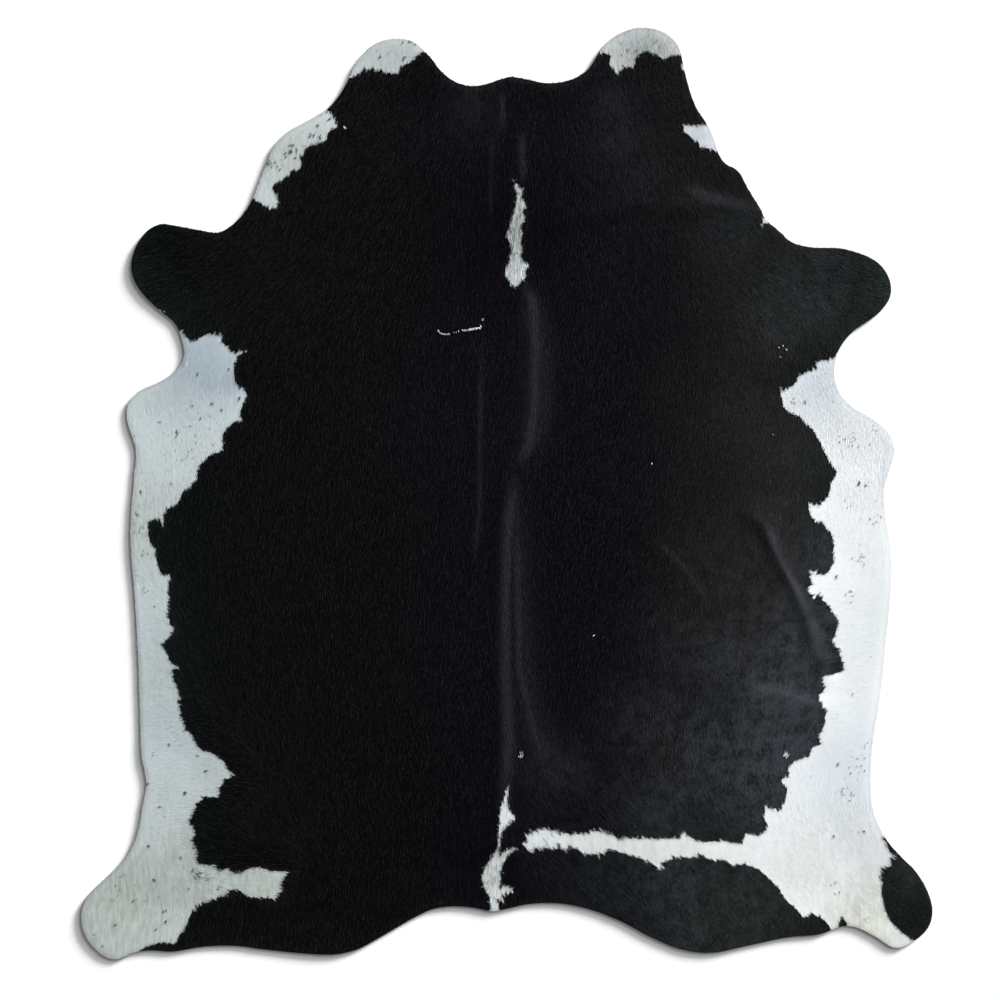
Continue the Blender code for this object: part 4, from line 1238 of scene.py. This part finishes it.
# White marks in the black coat: how wide they are, how far apart their hairs stand and their
# line, in centimetres.
Scar = namedtuple("Scar", "width step line")
SCARS = table(Scar, [
    (0.05, 0.24, [(-16.9, 40.1), (-16.4, 39.4), (-15.6, 39.1), (-13.9, 39.1)]),
    (0.04, 0.9, [(-13, 39.4), (-11.2, 39.9)]), (0.05, 0.28, [(-10.9, 40), (-9.4, 40.1)]),
    (0.09, 0.08, [(-9.4, 40.1), (-7.9, 40.4), (-6.5, 40.6), (-6.3, 41.2)]),
    (0.05, 0.3, [(-6, 42.8), (-5.7, 42.4)]),
    (0.14, 0.08, [(-40, 89.9), (-39.5, 89.7), (-39.8, 89.6)]),
    (0.2, 0.08, [(3.5, -63.8), (3.4, -64.8)]), (0.05, 0.16, [(67.8, 36.4), (68, 36.1)]),
    (0.05, 0.16, [(68.6, 35.4), (68.8, 35.1)]), (0.05, 0.16, [(67.2, 33.6), (67.4, 33.4)]),
    (0.05, 0.2, [(66.8, 35.9), (66.9, 35.7)]), (0.05, 0.12, [(35.6, 7.3), (35.7, 7.2)]),
    (0.05, 0.12, [(65.3, 14.4), (65.3, 14.3)]), (0.08, 0.08, [(21.3, -35), (21.4, -35.1)]),
])


def fleck_places(random, flecks):
    """Where the dark hairs stand: only in the white coat."""
    points = []
    for fleck in flecks:
        middles = random.normal(0.0, fleck.spread, (fleck.count, 2)) + (fleck.x, fleck.y)
        points.append(np.repeat(middles, fleck.hairs, axis=0) * CM)
    points = np.vstack(points)
    points, white = on_hide(points + random.normal(0.0, TUFT_REACH, points.shape))
    return points[white]


def scar_places(random):
    """Where the white hairs stand along each scar."""
    points = []
    for scar in SCARS:
        for start, end in zip(scar.line, scar.line[1:]):
            start, end = np.array(start) * CM, np.array(end) * CM
            count = math.ceil(np.linalg.norm(end - start) / (scar.step * CM))
            line = start + (end - start) * (np.arange(count) / count)[:, None]
            points.append(line + random.normal(0.0, scar.width * CM, line.shape))
    return np.vstack(points)


fleck_random = np.random.default_rng(33)
tufted = [fleck for fleck in FLECKS if fleck.hairs > SINGLE]
single = [fleck for fleck in FLECKS if fleck.hairs <= SINGLE]
tufts = grow(fleck_places(fleck_random, tufted), FLECK_HAIR, seed=34)
singles = grow(fleck_places(fleck_random, single), FINE_FLECK, seed=36)
streaks = grow(fleck_places(fleck_random, STREAKS), STREAK_HAIR, seed=37)
scars = grow(scar_places(fleck_random), SCAR_HAIR, seed=35)
fleck_hair = hair_material(
    "fleck_hair", lambda tree: FLECK_COLOUR, dark=0.5, roughness=0.5, gloss=0.2, relief=0.4
)
for name, locks, hair in (
    ("dark_tufts", tufts, fleck_hair), ("dark_flecks", singles, fleck_hair),
    ("dark_streaks", streaks, fleck_hair), ("white_scars", scars, white_hair),
):
    coat_pieces.append(coat_piece(name, locks, hair))

bpy.data.objects.remove(LOCK, do_unlink=True)


# ---- The floor, the light and the camera ----------------------------------------------------
# The rug lies on a plain pale floor. Soft light falls low over its right shoulder, and the camera
# looks straight down on it.

FLOOR_HALF = 30.0  # half the floor's width
FLOOR_DROP = 0.0003  # how far the floor is under the hide
FLOOR_COLOUR = (0.82, 0.82, 0.82, 1.0)
SKY_COLOUR = (0.97, 0.985, 1.0, 1.0)
SKY_STRENGTH = 0.22

floor_mesh = bpy.data.meshes.new("floor")
corners = [
    (x * FLOOR_HALF, y * FLOOR_HALF, -FLOOR_DROP) for x, y in ((-1, -1), (1, -1), (1, 1), (-1, 1))
]
floor_mesh.from_pydata(corners, [], [(0, 1, 2, 3)])
floor = in_scene("floor", floor_mesh)
floor_material, floor_tree = new_material("floor")
floor_shader = floor_tree.nodes["Principled BSDF"]
floor_shader.inputs["Base Color"].default_value = FLOOR_COLOUR
floor_shader.inputs["Roughness"].default_value = 1.0
floor_shader.inputs["Specular IOR Level"].default_value = 0.0
floor_mesh.materials.append(floor_material)

# Each light's height above the floor, its way round from the neck towards the right flank and
# how wide it looks, in degrees, and its strength.
Lamp = namedtuple("Lamp", "name height side width strength")
LAMPS = table(Lamp, [
    ("low window", 15, 47, 15, 9.1), ("high window", 36, 47, 34, 1.76),
])


def add_lamp(lamp):
    """A broad soft light from far away."""
    light = bpy.data.lights.new(lamp.name, "SUN")
    light.energy = lamp.strength
    light.angle = math.radians(lamp.width)
    height, side = math.radians(lamp.height), math.radians(lamp.side)
    level = math.cos(height)
    towards = Vector((level * math.sin(side), level * math.cos(side), math.sin(height)))
    in_scene(lamp.name, light).rotation_euler = towards.to_track_quat("Z", "Y").to_euler()


for lamp in LAMPS:
    add_lamp(lamp)
world = bpy.data.worlds.new("studio")
world.use_nodes = True
sky = world.node_tree.nodes["Background"]
sky.inputs["Color"].default_value = SKY_COLOUR
sky.inputs["Strength"].default_value = SKY_STRENGTH
bpy.context.scene.world = world
bpy.context.scene.view_settings.view_transform = "Standard"

LENS = 85.0
SENSOR = 36.0
VIEW_WIDTH = 2.457  # of floor, across the whole frame
AIM = (-0.0166, -0.0154)  # the frame's middle, from the hide's
camera_data = bpy.data.cameras.new("camera")
camera_data.lens = LENS
camera_data.sensor_width = SENSOR
camera = in_scene("camera", camera_data)
camera.location = (*AIM, VIEW_WIDTH * LENS / SENSOR)
bpy.context.scene.camera = camera
